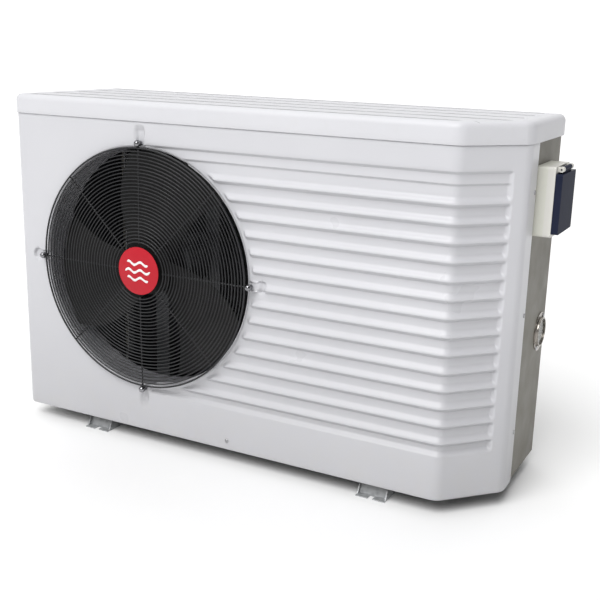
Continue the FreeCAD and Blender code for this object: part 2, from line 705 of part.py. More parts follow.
def evaporator_fins():
    """L-shaped fin pack: plates across the back, fanned round the bend, then up the left side."""
    y0 = COIL_BACK - COIL_DEPTH
    centre = V(COIL_LEFT + COIL_BEND, COIL_BACK - COIL_BEND, 0)
    fins = []
    x = COIL_RIGHT
    while x > centre.x:
        fins.append(box(x - FIN_SHEET, x, y0, COIL_BACK, COIL_BOTTOM, COIL_TOP))
        x -= FIN_PITCH
    turns = int(math.pi / 2 * COIL_BEND / FIN_PITCH)
    for index in range(1, turns):
        fin = box(centre.x - FIN_SHEET / 2, centre.x + FIN_SHEET / 2, y0, COIL_BACK,
                  COIL_BOTTOM, COIL_TOP)
        fin.rotate(centre, V(0, 0, 1), index * 90.0 / turns)
        fins.append(fin)
    y = centre.y
    while y > COIL_FRONT_END:
        fins.append(box(COIL_LEFT, COIL_LEFT + COIL_DEPTH, y - FIN_SHEET, y, COIL_BOTTOM, COIL_TOP))
        y -= FIN_PITCH
    return group(fins)


def tube_height(row):
    return COIL_BOTTOM + 24 + row * TUBE_PITCH


def evaporator_tubes():
    """Return bends at both ends of the fin pack, and the two feed stubs."""
    y = COIL_BACK - COIL_DEPTH / 2
    x = COIL_LEFT + COIL_DEPTH / 2
    pieces = []
    for row in range(0, TUBE_ROWS, 2):
        low = tube_height(row)
        high = tube_height(row + 1)
        front = COIL_FRONT_END - 16
        points = [(x, COIL_FRONT_END, low), (x, front, low), (x, front, high), (x, COIL_FRONT_END, high)]
        pieces.append(swept_rod(points, TUBE_R, TUBE_PITCH / 2 - 0.2))
    for row in range(1, TUBE_ROWS - 1, 2):
        low = tube_height(row)
        high = tube_height(row + 1)
        end = COIL_RIGHT + 26
        points = [(COIL_RIGHT, y, low), (end, y, low), (end, y, high), (COIL_RIGHT, y, high)]
        pieces.append(swept_rod(points, TUBE_R, TUBE_PITCH / 2 - 0.2))
    for row in (0, TUBE_ROWS - 1):
        pieces.append(rod((COIL_RIGHT, y, tube_height(row)), X_AXIS, TUBE_R, 24))
    return group(pieces)


# Refrigerant circuit ------------------------------------------------------------------------

def compressor_feet():
    return [(COMP_X + COMP_FOOT_R * math.cos(a), COMP_Y + COMP_FOOT_R * math.sin(a))
            for a in (math.radians(60), math.radians(180), math.radians(300))]


def compressor():
    height = COMP_TOP - COMP_BOTTOM
    body = rod((COMP_X, COMP_Y, COMP_BOTTOM), Z_AXIS, COMP_R, height)
    ends = [edge for edge in body.Edges if abs(edge.BoundBox.ZMax - edge.BoundBox.ZMin) < 0.01]
    body = body.makeFillet(24, ends)
    hollow = rod((COMP_X, COMP_Y, COMP_BOTTOM + 14), Z_AXIS, COMP_R - 14, height - 28)
    port = rod((COMP_X, COMP_Y, COMP_TOP - 2), Z_AXIS, 8, 12)
    terminals = box(COMP_X - 22, COMP_X + 22, COMP_Y - COMP_R - 22, COMP_Y - COMP_R + 14, 210, 262)
    feet = []
    for x, y in compressor_feet():
        feet.append(rod((x, y, COMP_BOTTOM - 4), Z_AXIS, 18, 4))
        middle = Part.makeBox(COMP_FOOT_R, 30, 4, V(0, -15, COMP_BOTTOM - 4))
        middle.rotate(V(0, 0, 0), V(0, 0, 1), math.degrees(math.atan2(y - COMP_Y, x - COMP_X)))
        feet.append(middle.translated(V(COMP_X, COMP_Y, 0)))
    base = fuse(*feet, rod((COMP_X, COMP_Y, COMP_BOTTOM - 4), Z_AXIS, 50, 5))
    holes = [rod((x, y, COMP_BOTTOM - 6), Z_AXIS, 9, 10) for x, y in compressor_feet()]
    return fuse(body.cut(hollow), port, terminals, base).cut(group(holes))


def compressor_grommets():
    pieces = []
    z0 = CASE_BOTTOM + SHEET
    for x, y in compressor_feet():
        low = rod((x, y, z0), Z_AXIS, 14, COMP_BOTTOM - 4 - z0)
        neck = rod((x, y, z0), Z_AXIS, 9, COMP_BOTTOM - z0)
        high = rod((x, y, COMP_BOTTOM), Z_AXIS, 13, 5)
        pieces.append(fuse(low, neck, high).cut(rod((x, y, z0 - 1), Z_AXIS, 4.1, 60)))
    return group(pieces)


def compressor_bolts():
    pieces = []
    for x, y in compressor_feet():
        shank = rod((x, y, CASE_BOTTOM - 3), Z_AXIS, 4, COMP_BOTTOM + 12 - CASE_BOTTOM)
        nut = rod((x, y, COMP_BOTTOM + 5), Z_AXIS, 8, 7)
        head = rod((x, y, CASE_BOTTOM - 5), Z_AXIS, 7, 5)
        pieces.append(fuse(shank, nut, head))
    return group(pieces)


def accumulator():
    body = rod((ACC_X, ACC_Y, 90), Z_AXIS, ACC_R, 190)
    ends = [edge for edge in body.Edges if abs(edge.BoundBox.ZMax - edge.BoundBox.ZMin) < 0.01]
    body = body.makeFillet(12, ends)
    hollow = rod((ACC_X, ACC_Y, 96), Z_AXIS, ACC_R - 4, 178)
    leg = rod((ACC_X, ACC_Y, CASE_BOTTOM + SHEET), Z_AXIS, 10, 62)
    foot = rod((ACC_X, ACC_Y, CASE_BOTTOM + SHEET), Z_AXIS, 24, 3)
    port = rod((ACC_X, ACC_Y, 278), Z_AXIS, 8, 12)
    return fuse(body.cut(hollow), leg, foot, port)


def vessel_nozzle(z):
    return rod((VESSEL_X, VESSEL_Y, z), Y_AXIS, SOCKET_R, VESSEL_R + 14)


def exchanger_vessel():
    wall = ring((VESSEL_X, VESSEL_Y, VESSEL_BOTTOM), Z_AXIS, VESSEL_R, VESSEL_R - 5,
                VESSEL_TOP - VESSEL_BOTTOM)
    caps = []
    for z in (VESSEL_BOTTOM - 12, VESSEL_TOP - 12):
        caps.append(rod((VESSEL_X, VESSEL_Y, z), Z_AXIS, VESSEL_R + 3, 24))
    legs = []
    for angle in (45, 135, 225, 315):
        c = math.cos(math.radians(angle))
        s = math.sin(math.radians(angle))
        legs.append(rod((VESSEL_X + 50 * c, VESSEL_Y + 50 * s, CASE_BOTTOM + SHEET), Z_AXIS, 8, 8))
    nozzles = [vessel_nozzle(z) for z in (WATER_IN_Z, WATER_OUT_Z)]
    hollow = rod((VESSEL_X, VESSEL_Y, VESSEL_BOTTOM), Z_AXIS, VESSEL_R - 5, VESSEL_TOP - VESSEL_BOTTOM)
    bores = [rod((VESSEL_X, VESSEL_Y, z), Y_AXIS, SOCKET_R - 4, 120) for z in (WATER_IN_Z, WATER_OUT_Z)]
    ports = [rod((x, y, VESSEL_TOP + 10), Z_AXIS, 9, 8) for x, y in COIL_PORTS]
    holes = [rod((x, y, VESSEL_TOP - 30), Z_AXIS, 6.5, 80) for x, y in COIL_PORTS]
    vessel = fuse(wall, *caps, *legs, *nozzles, *ports)
    return vessel.cut(group([hollow] + bores)).cut(group(holes))


def titanium_coil():
    """Helical coil that carries the refrigerant through the water."""
    radius = 44.0
    pitch = 41.0
    turns = 7
    z0 = VESSEL_BOTTOM + 50
    helix = Part.makeHelix(pitch, pitch * turns, radius)
    start = V(radius, 0, 0)
    section = Part.Wire(Part.makeCircle(6.0, start, V(0, radius, pitch / (2 * math.pi))))
    coil = Part.Wire(helix).makePipeShell([section], True, True)
    return coil.translated(V(VESSEL_X, VESSEL_Y, z0))


def water_pipe(z, switch_hole):
    start = VESSEL_Y + VESSEL_R + 14
    body = ring((VESSEL_X, start, z), Y_AXIS, SOCKET_R, SOCKET_R - 4, UNION_END_Y - start - SOCKET_LENGTH)
    tail_start = UNION_END_Y - SOCKET_LENGTH - 6
    tail = rod((VESSEL_X, tail_start, z), Y_AXIS, SOCKET_R + 4, UNION_END_Y - tail_start)
    tail = tail.cut(rod((VESSEL_X, tail_start, z), Y_AXIS, SOCKET_R - 4, 20))
    tail = tail.cut(rod((VESSEL_X, UNION_END_Y - SOCKET_LENGTH, z), Y_AXIS, SOCKET_R, 60))
    pipe = fuse(body, tail)
    if switch_hole:
        pipe = pipe.cut(rod((VESSEL_X, SWITCH_Y, z), Z_AXIS, 8.0, 40))
    return pipe


def union_nuts():
    nuts = []
    for z in (WATER_IN_Z, WATER_OUT_Z):
        nut = ring((VESSEL_X, CASE_BACK + 4, z), Y_AXIS, SOCKET_R + 13, SOCKET_R + 4, 34)
        grips = []
        for index in range(12):
            angle = index * math.pi / 6
            x = VESSEL_X + (SOCKET_R + 13.5) * math.cos(angle)
            grips.append(rod((x, CASE_BACK + 10, z + (SOCKET_R + 13.5) * math.sin(angle)), Y_AXIS, 2.5, 30))
        nuts.append(nut.cut(group(grips)))
    return group(nuts)


def flow_switch_body():
    z = WATER_IN_Z
    stem = rod((VESSEL_X, SWITCH_Y, z + 17), Z_AXIS, 8.0, 20)
    collar = rod((VESSEL_X, SWITCH_Y, z + SOCKET_R + 0.4), Z_AXIS, 14.0, 8)
    housing = rounded_box(VESSEL_X - 18, VESSEL_X + 18, SWITCH_Y - 20, SWITCH_Y + 20, z + 33, z + 75, 5)
    yoke = [box(x - 1, x + 1, SWITCH_Y - 4, SWITCH_Y + 4, z + 10, z + 17.5)
            for x in (VESSEL_X - 6, VESSEL_X + 6)]
    holes = rod((VESSEL_X - 10, SWITCH_Y, PADDLE_AXIS_Z), X_AXIS, 1.0 + RUNNING_FIT, 20)
    return fuse(stem, collar, housing, *yoke).cut(holes)


def flow_switch_paddle():
    pin = rod((VESSEL_X - 7, SWITCH_Y, PADDLE_AXIS_Z), X_AXIS, 1.0, 14)
    hub = rod((VESSEL_X - 4.6, SWITCH_Y, PADDLE_AXIS_Z), X_AXIS, 2.2, 9.2)
    blade = box(VESSEL_X - 4.6, VESSEL_X + 4.6, SWITCH_Y - 0.6, SWITCH_Y + 0.6,
                WATER_IN_Z - 14, PADDLE_AXIS_Z)
    return fuse(pin, hub, blade)


def four_way_valve():
    start = VALVE_X - 60
    body = rod((start, VALVE_Y, VALVE_Z), X_AXIS, VALVE_R, 120)
    bore = rod((start + 5, VALVE_Y, VALVE_Z), X_AXIS, 12.0, 110)
    stubs = [rod((VALVE_X, VALVE_Y, VALVE_Z + 10), Z_AXIS, 7.0, 20)]
    for x in (VALVE_X - 30, VALVE_X, VALVE_X + 30):
        stubs.append(rod((x, VALVE_Y, VALVE_Z - 30), Z_AXIS, 7.0, 20))
    return fuse(body, *stubs).cut(bore)


def valve_slider():
    start = VALVE_X - 50
    pistons = [rod((start, VALVE_Y, VALVE_Z), X_AXIS, 12.0 - RUNNING_FIT, 10),
               rod((start + 70, VALVE_Y, VALVE_Z), X_AXIS, 12.0 - RUNNING_FIT, 10)]
    stem = box(start + 5, start + 75, VALVE_Y - 4, VALVE_Y + 4, VALVE_Z - 8, VALVE_Z - 2)
    return fuse(*pistons, stem)


def valve_coil():
    coil = rod((VALVE_X - 20, VALVE_Y - 48, VALVE_Z), X_AXIS, 15, 40)
    bracket = box(VALVE_X - 12, VALVE_X + 12, VALVE_Y - 34.5, VALVE_Y - 15.4, VALVE_Z - 6, VALVE_Z + 6)
    body = rod((VALVE_X - 70, VALVE_Y, VALVE_Z), X_AXIS, VALVE_R, 140)
    return fuse(coil, bracket).cut(body)


def filter_drier():
    body = rod((DRIER[0], DRIER[1], 330), Z_AXIS, 13, 90)
    ends = [edge for edge in body.Edges if abs(edge.BoundBox.ZMax - edge.BoundBox.ZMin) < 0.01]
    body = body.makeFillet(8, ends)
    necks = rod((DRIER[0], DRIER[1], 322), Z_AXIS, 5, 106)
    return fuse(body, necks)


def expansion_valve():
    """Valve body on the liquid line, with its drive coil on a side stem."""
    body = rod((DRIER[0], DRIER[1], 200), Z_AXIS, 12, 44)
    stem = rod((DRIER[0] - 20, DRIER[1], 222), X_AXIS, 6, 18)
    coil = rod((DRIER[0] - 48, DRIER[1], 222), X_AXIS, 15, 29)
    neck = rod((DRIER[0], DRIER[1], 195), Z_AXIS, 5, 60)
    return fuse(body, stem, coil, neck)


def discharge_pipe():
    top = COMP_TOP + 10
    points = [(COMP_X, COMP_Y, top), (COMP_X, COMP_Y, 455), (COMP_X, VALVE_Y, 455),
              (COMP_X, VALVE_Y, VALVE_Z + 30)]
    return tube(points, 6.0, 1.0, 18.0)


def suction_pipes():
    """Return line from the valve to the accumulator, and the lines to the coil and the exchanger."""
    low = VALVE_Z - 30
    suction = [(VALVE_X, VALVE_Y, low), (VALVE_X, VALVE_Y, 345), (ACC_X, ACC_Y, 345), (ACC_X, ACC_Y, 290)]
    y = COIL_BACK - COIL_DEPTH / 2
    coil_z = tube_height(TUBE_ROWS - 1)
    left = VALVE_X - 30
    to_coil = [(left, VALVE_Y, low), (left, VALVE_Y, 342), (150, VALVE_Y, 342), (150, y, 342),
               (150, y, coil_z), (COIL_RIGHT + 24, y, coil_z)]
    right = VALVE_X + 30
    port = COIL_PORTS[0]
    to_vessel = [(right, VALVE_Y, low), (right, VALVE_Y, 348), (285, VALVE_Y, 348), (285, VALVE_Y, 478),
                 (port[0], port[1], 478), (port[0], port[1], VESSEL_TOP + 18)]
    return group([tube(suction, 6.0, 1.0, 13.0), tube(to_coil, 6.0, 1.0, 13.0),
                  tube(to_vessel, 6.0, 1.0, 14.0)])


def liquid_pipe():
    port = COIL_PORTS[1]
    y = COIL_BACK - COIL_DEPTH / 2
    low = tube_height(0)
    upper = [(port[0], port[1], VESSEL_TOP + 18), (port[0], port[1], 480), (DRIER[0], DRIER[1], 480),
             (DRIER[0], DRIER[1], 428)]
    middle = rod((DRIER[0], DRIER[1], 255), Z_AXIS, 5.0, 67)
    lower = [(DRIER[0], DRIER[1], 195), (DRIER[0], DRIER[1], 150), (180, y, 150), (180, y, low),
             (COIL_RIGHT + 24, y, low)]
    return group([tube(upper, 5.0, 1.0, 14.0), middle, tube(lower, 5.0, 1.0, 14.0)])


def service_port():
    y = CASE_BACK - SHELL
    stem = rod((PORT_X, y - 30, PORT_Z), Y_AXIS, 5.5, 52)
    hexagon = rod((PORT_X, y - 20, PORT_Z), Y_AXIS, 12, 18.4)
    nut = rod((PORT_X, y, PORT_Z), Y_AXIS, 12, 4)
    neck = rod((PORT_X, y - 3, PORT_Z), Y_AXIS, 9.0, 5)
    bore = rod((PORT_X, y - 10, PORT_Z), Y_AXIS, 2.5, 60)
    return fuse(stem, hexagon, nut, neck).cut(bore)


# Electrical box -----------------------------------------------------------------------------

def electrical_box():
    x0, x1, y0, y1, z0, z1 = EBOX
    outer = box(x0, x1, y0, y1, z0, z1)
    inner = box(x0 + SHEET, x1 - SHEET, y0 + SHEET, y1 - SHEET, z0 + SHEET, z1 + 1)
    hanger = box(PARTITION_X + SHEET, x0, y0 + 20, y1 - 20, z1 - 30, z1 - 28)
    return fuse(outer.cut(inner), hanger)


def circuit_board():
    x0, y0, z0 = EBOX[::2]
    board = box(x0 + 12, x0 + 172, y0 + 12, y0 + 132, z0 + 10, z0 + 11.6)
    posts = [rod((x, y, z0 + SHEET), Z_AXIS, 3, 10 - SHEET)
             for x in (x0 + 18, x0 + 166) for y in (y0 + 18, y0 + 126)]
    relays = [box(x0 + 24 + i * 26, x0 + 44 + i * 26, y0 + 20, y0 + 36, z0 + 11.6, z0 + 28)
              for i in range(4)]
    chips = [box(x0 + 30 + i * 44, x0 + 54 + i * 44, y0 + 66, y0 + 84, z0 + 11.6, z0 + 14.6)
             for i in range(3)]
    drums = [rod((x0 + 34 + i * 30, y0 + 112, z0 + 11.6), Z_AXIS, 8, 24) for i in range(4)]
    return fuse(board, *posts, *relays, *chips, *drums)


def terminal_block():
    x0, y0, z0 = EBOX[::2]
    block = box(x0 + 190, x0 + 276, y0 + 14, y0 + 42, z0 + SHEET, z0 + 26)
    cuts = [box(x0 + 194 + i * 16, x0 + 206 + i * 16, y0 + 18, y0 + 38, z0 + 16, z0 + 30)
            for i in range(5)]
    return block.cut(group(cuts))


def contactor():
    x0, y0, z0 = EBOX[::2]
    body = box(x0 + 196, x0 + 252, y0 + 70, y0 + 140, z0 + SHEET, z0 + 62)
    head = box(x0 + 206, x0 + 242, y0 + 82, y0 + 128, z0 + 62, z0 + 74)
    return fuse(body, head)


def cable_glands():
    pieces = []
    y = CASE_BACK - SHELL
    for x in GLAND_XS:
        inside = rod((x, y - 12, GLAND_Z), Y_AXIS, 11, 10.4)
        neck = rod((x, y - 3, GLAND_Z), Y_AXIS, 8.0, 5)
        body = rod((x, y, GLAND_Z), Y_AXIS, 12, 8)
        dome = rod((x, y + 8, GLAND_Z), Y_AXIS, 10, 12)
        gland = fuse(inside, neck, body, dome).cut(rod((x, y - 20, GLAND_Z), Y_AXIS, 4.5, 60))
        pieces.append(gland)
    return group(pieces)


# Gauge --------------------------------------------------------------------------------------

def gauge_screw_points():
    points = []
    for angle in (60, 240):
        points.append((GAUGE_Y + GAUGE_SCREW_CIRCLE * math.cos(math.radians(angle)),
                       GAUGE_Z + GAUGE_SCREW_CIRCLE * math.sin(math.radians(angle))))
    return points


def gauge_case():
    back = rod((PANEL_X - 26, GAUGE_Y, GAUGE_Z), X_AXIS, GAUGE_R, 26)
    flange = rod((PANEL_X, GAUGE_Y, GAUGE_Z), X_AXIS, BEZEL_R, 1.5)
    bezel = rod((PANEL_X, GAUGE_Y, GAUGE_Z), X_AXIS, GAUGE_R + 0.8, 6)
    hollow = rod((PANEL_X - 8, GAUGE_Y, GAUGE_Z), X_AXIS, GAUGE_R - 2, 20)
    socket = rod((PANEL_X - 40, GAUGE_Y, GAUGE_Z), X_AXIS, 6, 16)
    pivot = rod((PANEL_X - 9, GAUGE_Y, GAUGE_Z), X_AXIS, 1.0, 6)
    holes = [rod((PANEL_X - 5, y, z), X_AXIS, SCREW_R + 0.1, 20) for y, z in gauge_screw_points()]
    return fuse(fuse(back, flange, bezel, socket).cut(hollow), pivot).cut(group(holes))


def gauge_dial():
    plate = rod((PANEL_X - 8, GAUGE_Y, GAUGE_Z), X_AXIS, GAUGE_R - 2.1, 1.2)
    return plate.cut(rod((PANEL_X - 9, GAUGE_Y, GAUGE_Z), X_AXIS, 1.1, 5))


def gauge_needle():
    x = PANEL_X - 5.8
    hub = rod((x, GAUGE_Y, GAUGE_Z), X_AXIS, 3.2, 2.4)
    outline = [(x, GAUGE_Y - 1.6, GAUGE_Z - 8), (x, GAUGE_Y + 1.6, GAUGE_Z - 8),
               (x, GAUGE_Y + 0.5, GAUGE_Z + NEEDLE_LENGTH), (x, GAUGE_Y - 0.5, GAUGE_Z + NEEDLE_LENGTH)]
    pointer = polygon(outline).extrude(V(0.8, 0, 0))
    needle = fuse(hub, pointer)
    needle = needle.cut(rod((x - 1, GAUGE_Y, GAUGE_Z), X_AXIS, 1.0 + RUNNING_FIT, 3.9))
    needle.rotate(V(x, GAUGE_Y, GAUGE_Z), V(1, 0, 0), NEEDLE_REST)
    return needle


def gauge_glass():
    return rod((PANEL_X + 1.6, GAUGE_Y, GAUGE_Z), X_AXIS, GAUGE_R - 2.1, 2.2)


# Controller ---------------------------------------------------------------------------------

def controller_base():
    outer = box(PANEL_X, CTRL_BASE_X, CTRL_Y0, CTRL_Y1, CTRL_Z0, CTRL_Z1)
    vertical = [edge for edge in outer.Edges if edge.BoundBox.XLength > 1]
    outer = outer.makeFillet(4.0, vertical)
    inner = box(PANEL_X - 1, CTRL_BASE_X - 2.5, CTRL_Y0 + 2.5, CTRL_Y1 - 2.5, CTRL_Z0 + 2.5, CTRL_Z1 - 2.5)
    wires = rod((PANEL_X, 40, CTRL_Z0 + 30), X_AXIS, 9, 40)
    return outer.cut(inner).cut(wires)


def button_places():
    return {"button_power": (BUTTON_YS[0], BUTTON_ZS[1]), "button_mode": (BUTTON_YS[1], BUTTON_ZS[1]),
            "button_down": (BUTTON_YS[0], BUTTON_ZS[0]), "button_up": (BUTTON_YS[1], BUTTON_ZS[0])}


def controller_body():
    outer = box(CTRL_BASE_X, CTRL_FACE_X, CTRL_Y0, CTRL_Y1, CTRL_Z0, CTRL_Z1)
    long_edges = [edge for edge in outer.Edges if edge.BoundBox.XLength > 1]
    outer = outer.makeFillet(4.0, long_edges)
    inner = box(CTRL_BASE_X - 1, CTRL_FACE_X - 2.3, CTRL_Y0 + 2.3, CTRL_Y1 - 2.3,
                CTRL_Z0 + 2.3, CTRL_Z1 - 2.3)
    cuts = [box(CTRL_FACE_X - 5, CTRL_FACE_X + 1, DISPLAY_Y0, DISPLAY_Y1, DISPLAY_Z0, DISPLAY_Z1)]
    gap = 0.4
    for y, z in button_places().values():
        cuts.append(box(CTRL_FACE_X - 5, CTRL_FACE_X + 1, y - BUTTON_W / 2 - gap, y + BUTTON_W / 2 + gap,
                        z - BUTTON_H / 2 - gap, z + BUTTON_H / 2 + gap))
    lugs = []
    for y in (6.0, 67.0):
        lugs.append(rod((HINGE_X, y, HINGE_Z), Y_AXIS, 4.6, 10))
        lugs.append(box(CTRL_FACE_X - 1, HINGE_X, y, y + 10, HINGE_Z - 4, HINGE_Z + 4))
    shell = fuse(outer.cut(inner).cut(group(cuts)), *lugs)
    return shell.cut(rod((HINGE_X, CTRL_Y0, HINGE_Z), Y_AXIS, 1.6 + RUNNING_FIT, 100))


def controller_display():
    gap = 0.1
    window = box(CTRL_FACE_X - 2.3, CTRL_FACE_X + 0.4, DISPLAY_Y0 + gap, DISPLAY_Y1 - gap,
                 DISPLAY_Z0 + gap, DISPLAY_Z1 - gap)
    module = box(CTRL_BASE_X + 2, CTRL_FACE_X - 2.4, DISPLAY_Y0 - 2, DISPLAY_Y1 + 2,
                 DISPLAY_Z0 - 2, DISPLAY_Z1 + 2)
    joint = box(CTRL_FACE_X - 3, CTRL_FACE_X - 2.3, 12, 70, DISPLAY_Z0 + 2, DISPLAY_Z1 - 2)
    return fuse(window, module, joint)


def controller_button(y, z):
    top = CTRL_FACE_X + 1.6
    cap = box(CTRL_FACE_X - 4, top, y - BUTTON_W / 2, y + BUTTON_W / 2, z - BUTTON_H / 2, z + BUTTON_H / 2)
    front = [edge for edge in cap.Edges if abs(edge.BoundBox.XMin - top) < 0.01]
    cap = cap.makeFillet(1.0, front)
    flange = box(CTRL_FACE_X - 4.4, CTRL_FACE_X - 2.7, y - BUTTON_W / 2 - 2, y + BUTTON_W / 2 + 2,
                 z - BUTTON_H / 2 - 2, z + BUTTON_H / 2 + 2)
    return fuse(cap, flange)


def controller_cover():
    x0 = CTRL_FACE_X + 0.3
    top = HINGE_Z - 6.6
    outer = box(x0, CTRL_COVER_X, CTRL_Y0, CTRL_Y1, CTRL_Z0 + 6, top)
    long_edges = [edge for edge in outer.Edges if edge.BoundBox.XLength > 1]
    outer = outer.makeFillet(3.0, long_edges)
    inner = box(x0 - 1, CTRL_COVER_X - 2, CTRL_Y0 + 2, CTRL_Y1 - 2, CTRL_Z0 + 8, top - 2)
    barrel = rod((HINGE_X, 16.4, HINGE_Z), Y_AXIS, 4.2, 50.2)
    web = box(HINGE_X - 2, HINGE_X + 2.5, 16.4, 66.6, top - 1, HINGE_Z)
    pin = rod((HINGE_X, 8.0, HINGE_Z), Y_AXIS, 1.6, 67.0)
    return fuse(outer.cut(inner), barrel, web, pin)


# Fasteners shared by the panels ---------------------------------------------------------------

def panel_screws():
    pieces = [screw(point, X_AXIS, 6.0) for point in FLANGE_SCREWS]
    pieces.append(screw(FRONT_SCREW, (0, -1, 0), 6.0))
    pieces += [screw((x, y - SHELL, z), Y_AXIS, 6.0) for x, y, z in REAR_SCREWS]
    pieces += [screw((PANEL_X + 1.5, y, z), X_AXIS, 5.0) for y, z in gauge_screw_points()]
    return group(pieces)


def main():
    os.makedirs("parts", exist_ok=True)
    save("base_pan", base_pan())
    save("drain_spout", drain_spout())
    save("foot_rail_left", foot_rail(-1))
    save("foot_rail_right", foot_rail(1))
    save("front_shell", front_shell())
    save("top_cover", top_cover())
    save("right_side_panel", right_side_panel())
    save("rear_panel", rear_panel())
    save("corner_post", corner_post())
    save("coil_guard", coil_guard())
    save("partition_panel", partition_panel())
    save("fan_shroud", fan_shroud())
    save("fan_grille", fan_grille())
    save("grille_badge", grille_badge())
    save("grille_nuts", grille_nuts())
    save("fan_blades", fan_blades())
    save("fan_shaft", fan_shaft())
    save("fan_nut", fan_nut())
    save("fan_motor", fan_motor())
    save("motor_bracket", motor_bracket())
    save("evaporator_fins", evaporator_fins())
    save("evaporator_tubes", evaporator_tubes())
    save("compressor", compressor())
    save("compressor_grommets", compressor_grommets())
    save("compressor_bolts", compressor_bolts())
    save("accumulator", accumulator())
    save("exchanger_vessel", exchanger_vessel())
    save("titanium_coil", titanium_coil())
    save("water_inlet_pipe", water_pipe(WATER_IN_Z, True))
    save("water_outlet_pipe", water_pipe(WATER_OUT_Z, False))
    save("union_nuts", union_nuts())
    save("flow_switch_body", flow_switch_body())
    save("flow_switch_paddle", flow_switch_paddle())
    save("four_way_valve", four_way_valve())
    save("valve_slider", valve_slider())
    save("valve_coil", valve_coil())
    save("filter_drier", filter_drier())
    save("expansion_valve", expansion_valve())
    save("discharge_pipe", discharge_pipe())
    save("suction_pipes", suction_pipes())
    save("liquid_pipe", liquid_pipe())
    save("service_port", service_port())
    save("electrical_box", electrical_box())
    save("circuit_board", circuit_board())
    save("terminal_block", terminal_block())
    save("contactor", contactor())
    save("cable_glands", cable_glands())
    save("gauge_case", gauge_case())
    save("gauge_dial", gauge_dial())
    save("gauge_needle", gauge_needle())
    save("gauge_glass", gauge_glass())
    save("controller_base", controller_base())
    save("controller_body", controller_body())
    save("controller_display", controller_display())
    for name, (y, z) in button_places().items():
        save(name, controller_button(y, z))
    save("controller_cover", controller_cover())
    save("panel_screws", panel_screws())


main()
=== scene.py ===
"""Looks of the pool heat pump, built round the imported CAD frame. Sizes are in millimetres, times MM."""

import math
import random
from contextlib import contextmanager

import bmesh
import bpy
from mathutils import Matrix, Vector


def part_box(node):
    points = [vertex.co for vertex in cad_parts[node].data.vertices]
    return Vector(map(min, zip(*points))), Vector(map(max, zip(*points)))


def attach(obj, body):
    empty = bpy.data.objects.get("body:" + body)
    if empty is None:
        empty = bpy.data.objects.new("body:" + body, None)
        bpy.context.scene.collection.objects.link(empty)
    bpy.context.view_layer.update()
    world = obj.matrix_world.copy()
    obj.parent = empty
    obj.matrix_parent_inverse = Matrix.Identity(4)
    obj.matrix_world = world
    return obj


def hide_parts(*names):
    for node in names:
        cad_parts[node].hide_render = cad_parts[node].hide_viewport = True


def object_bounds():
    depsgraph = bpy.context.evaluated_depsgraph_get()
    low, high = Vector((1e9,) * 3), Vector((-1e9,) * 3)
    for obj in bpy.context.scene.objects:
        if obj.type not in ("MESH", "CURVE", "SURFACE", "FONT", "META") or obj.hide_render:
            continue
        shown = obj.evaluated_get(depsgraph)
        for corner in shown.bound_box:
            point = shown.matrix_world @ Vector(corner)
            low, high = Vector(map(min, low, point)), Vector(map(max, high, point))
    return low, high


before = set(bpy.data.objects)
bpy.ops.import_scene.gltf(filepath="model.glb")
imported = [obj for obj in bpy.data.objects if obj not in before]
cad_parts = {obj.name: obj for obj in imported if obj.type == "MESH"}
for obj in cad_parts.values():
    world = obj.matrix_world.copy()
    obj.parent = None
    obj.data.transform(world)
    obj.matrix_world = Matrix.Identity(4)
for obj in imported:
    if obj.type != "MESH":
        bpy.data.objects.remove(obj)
cad_low, cad_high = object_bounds()

MM = 0.001


# Places read from the CAD frame ---------------------------------------------------------------

def span(node):
    """Lowest and highest corners of a CAD node, in millimetres."""
    low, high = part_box(node)
    return Vector(low) / MM, Vector(high) / MM


shell_low, shell_high = span("front_shell")
lid_high = span("top_cover")[1]
fan_low, fan_high = span("fan_shroud")

LEFT = shell_low.x
RIGHT = shell_high.x
FRONT = shell_low.y
BOTTOM = shell_low.z
SEAM = shell_high.z
TOP = lid_high.z
BACK = lid_high.y - 2.0
FAN_X = (fan_low.x + fan_high.x) / 2
FAN_Z = (fan_low.z + fan_high.z) / 2

CHAMFER_X = 90.0
CHAMFER_Y = 95.0
KNUCKLE_X = RIGHT - CHAMFER_X
KNUCKLE_R = 30.0
FRONT_CORNER_R = 12.0
SHELL = 3.0
SHELL_LEFT_END = -96.0
SHELL_RIGHT_END = shell_high.y
BOTTOM_CORNER_R = 15.0
OPENING_R = 230.0
LIP_R = 6.0
LIP_DEPTH = 12.0
NUT_CIRCLE_R = 239.0
FIELD_BOTTOM = BOTTOM + 80.0
FIELD_TOP = BOTTOM + 562.0
FIELD_CHAMFER_END = 103.0
RIB_COUNT = 14
RIB_PITCH = 31.35
RIB_FIRST_Z = BOTTOM + 103.5
RIB_DEPTH = 7.5
DIMPLE_CIRCLE_R = 258.0
DIMPLE_DEPTH = 5.5
NUT_PAD_OUT = 246.0
GROOVE_FIRST_Y = FRONT + 19.0
GROOVE_PITCH = 66.0
GROOVE_HALF_WIDTH = 8.0
GROOVE_DEPTH = 2.0


# Small helpers --------------------------------------------------------------------------------

def smoothstep(low, high, value):
    t = min(max((value - low) / (high - low), 0.0), 1.0)
    return t * t * (3 - 2 * t)


def spread(start, end, count):
    """count + 1 evenly spaced values from start to end."""
    return [start + (end - start) * i / count for i in range(count + 1)]


def turns(count):
    """Evenly spaced angles of one full turn."""
    return [2 * math.pi * k / count for k in range(count)]


def new_mesh(name, points, faces, material, body, smooth=True):
    """Mesh piece from points in millimetres; it rides on a body."""
    mesh = bpy.data.meshes.new(name)
    mesh.from_pydata([Vector(p) * MM for p in points], [], faces)
    mesh.update()
    piece = bpy.data.objects.new(name, mesh)
    bpy.context.scene.collection.objects.link(piece)
    if smooth:
        mesh.polygons.foreach_set("use_smooth", [True] * len(mesh.polygons))
    mesh.materials.append(material)
    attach(piece, body)
    return piece


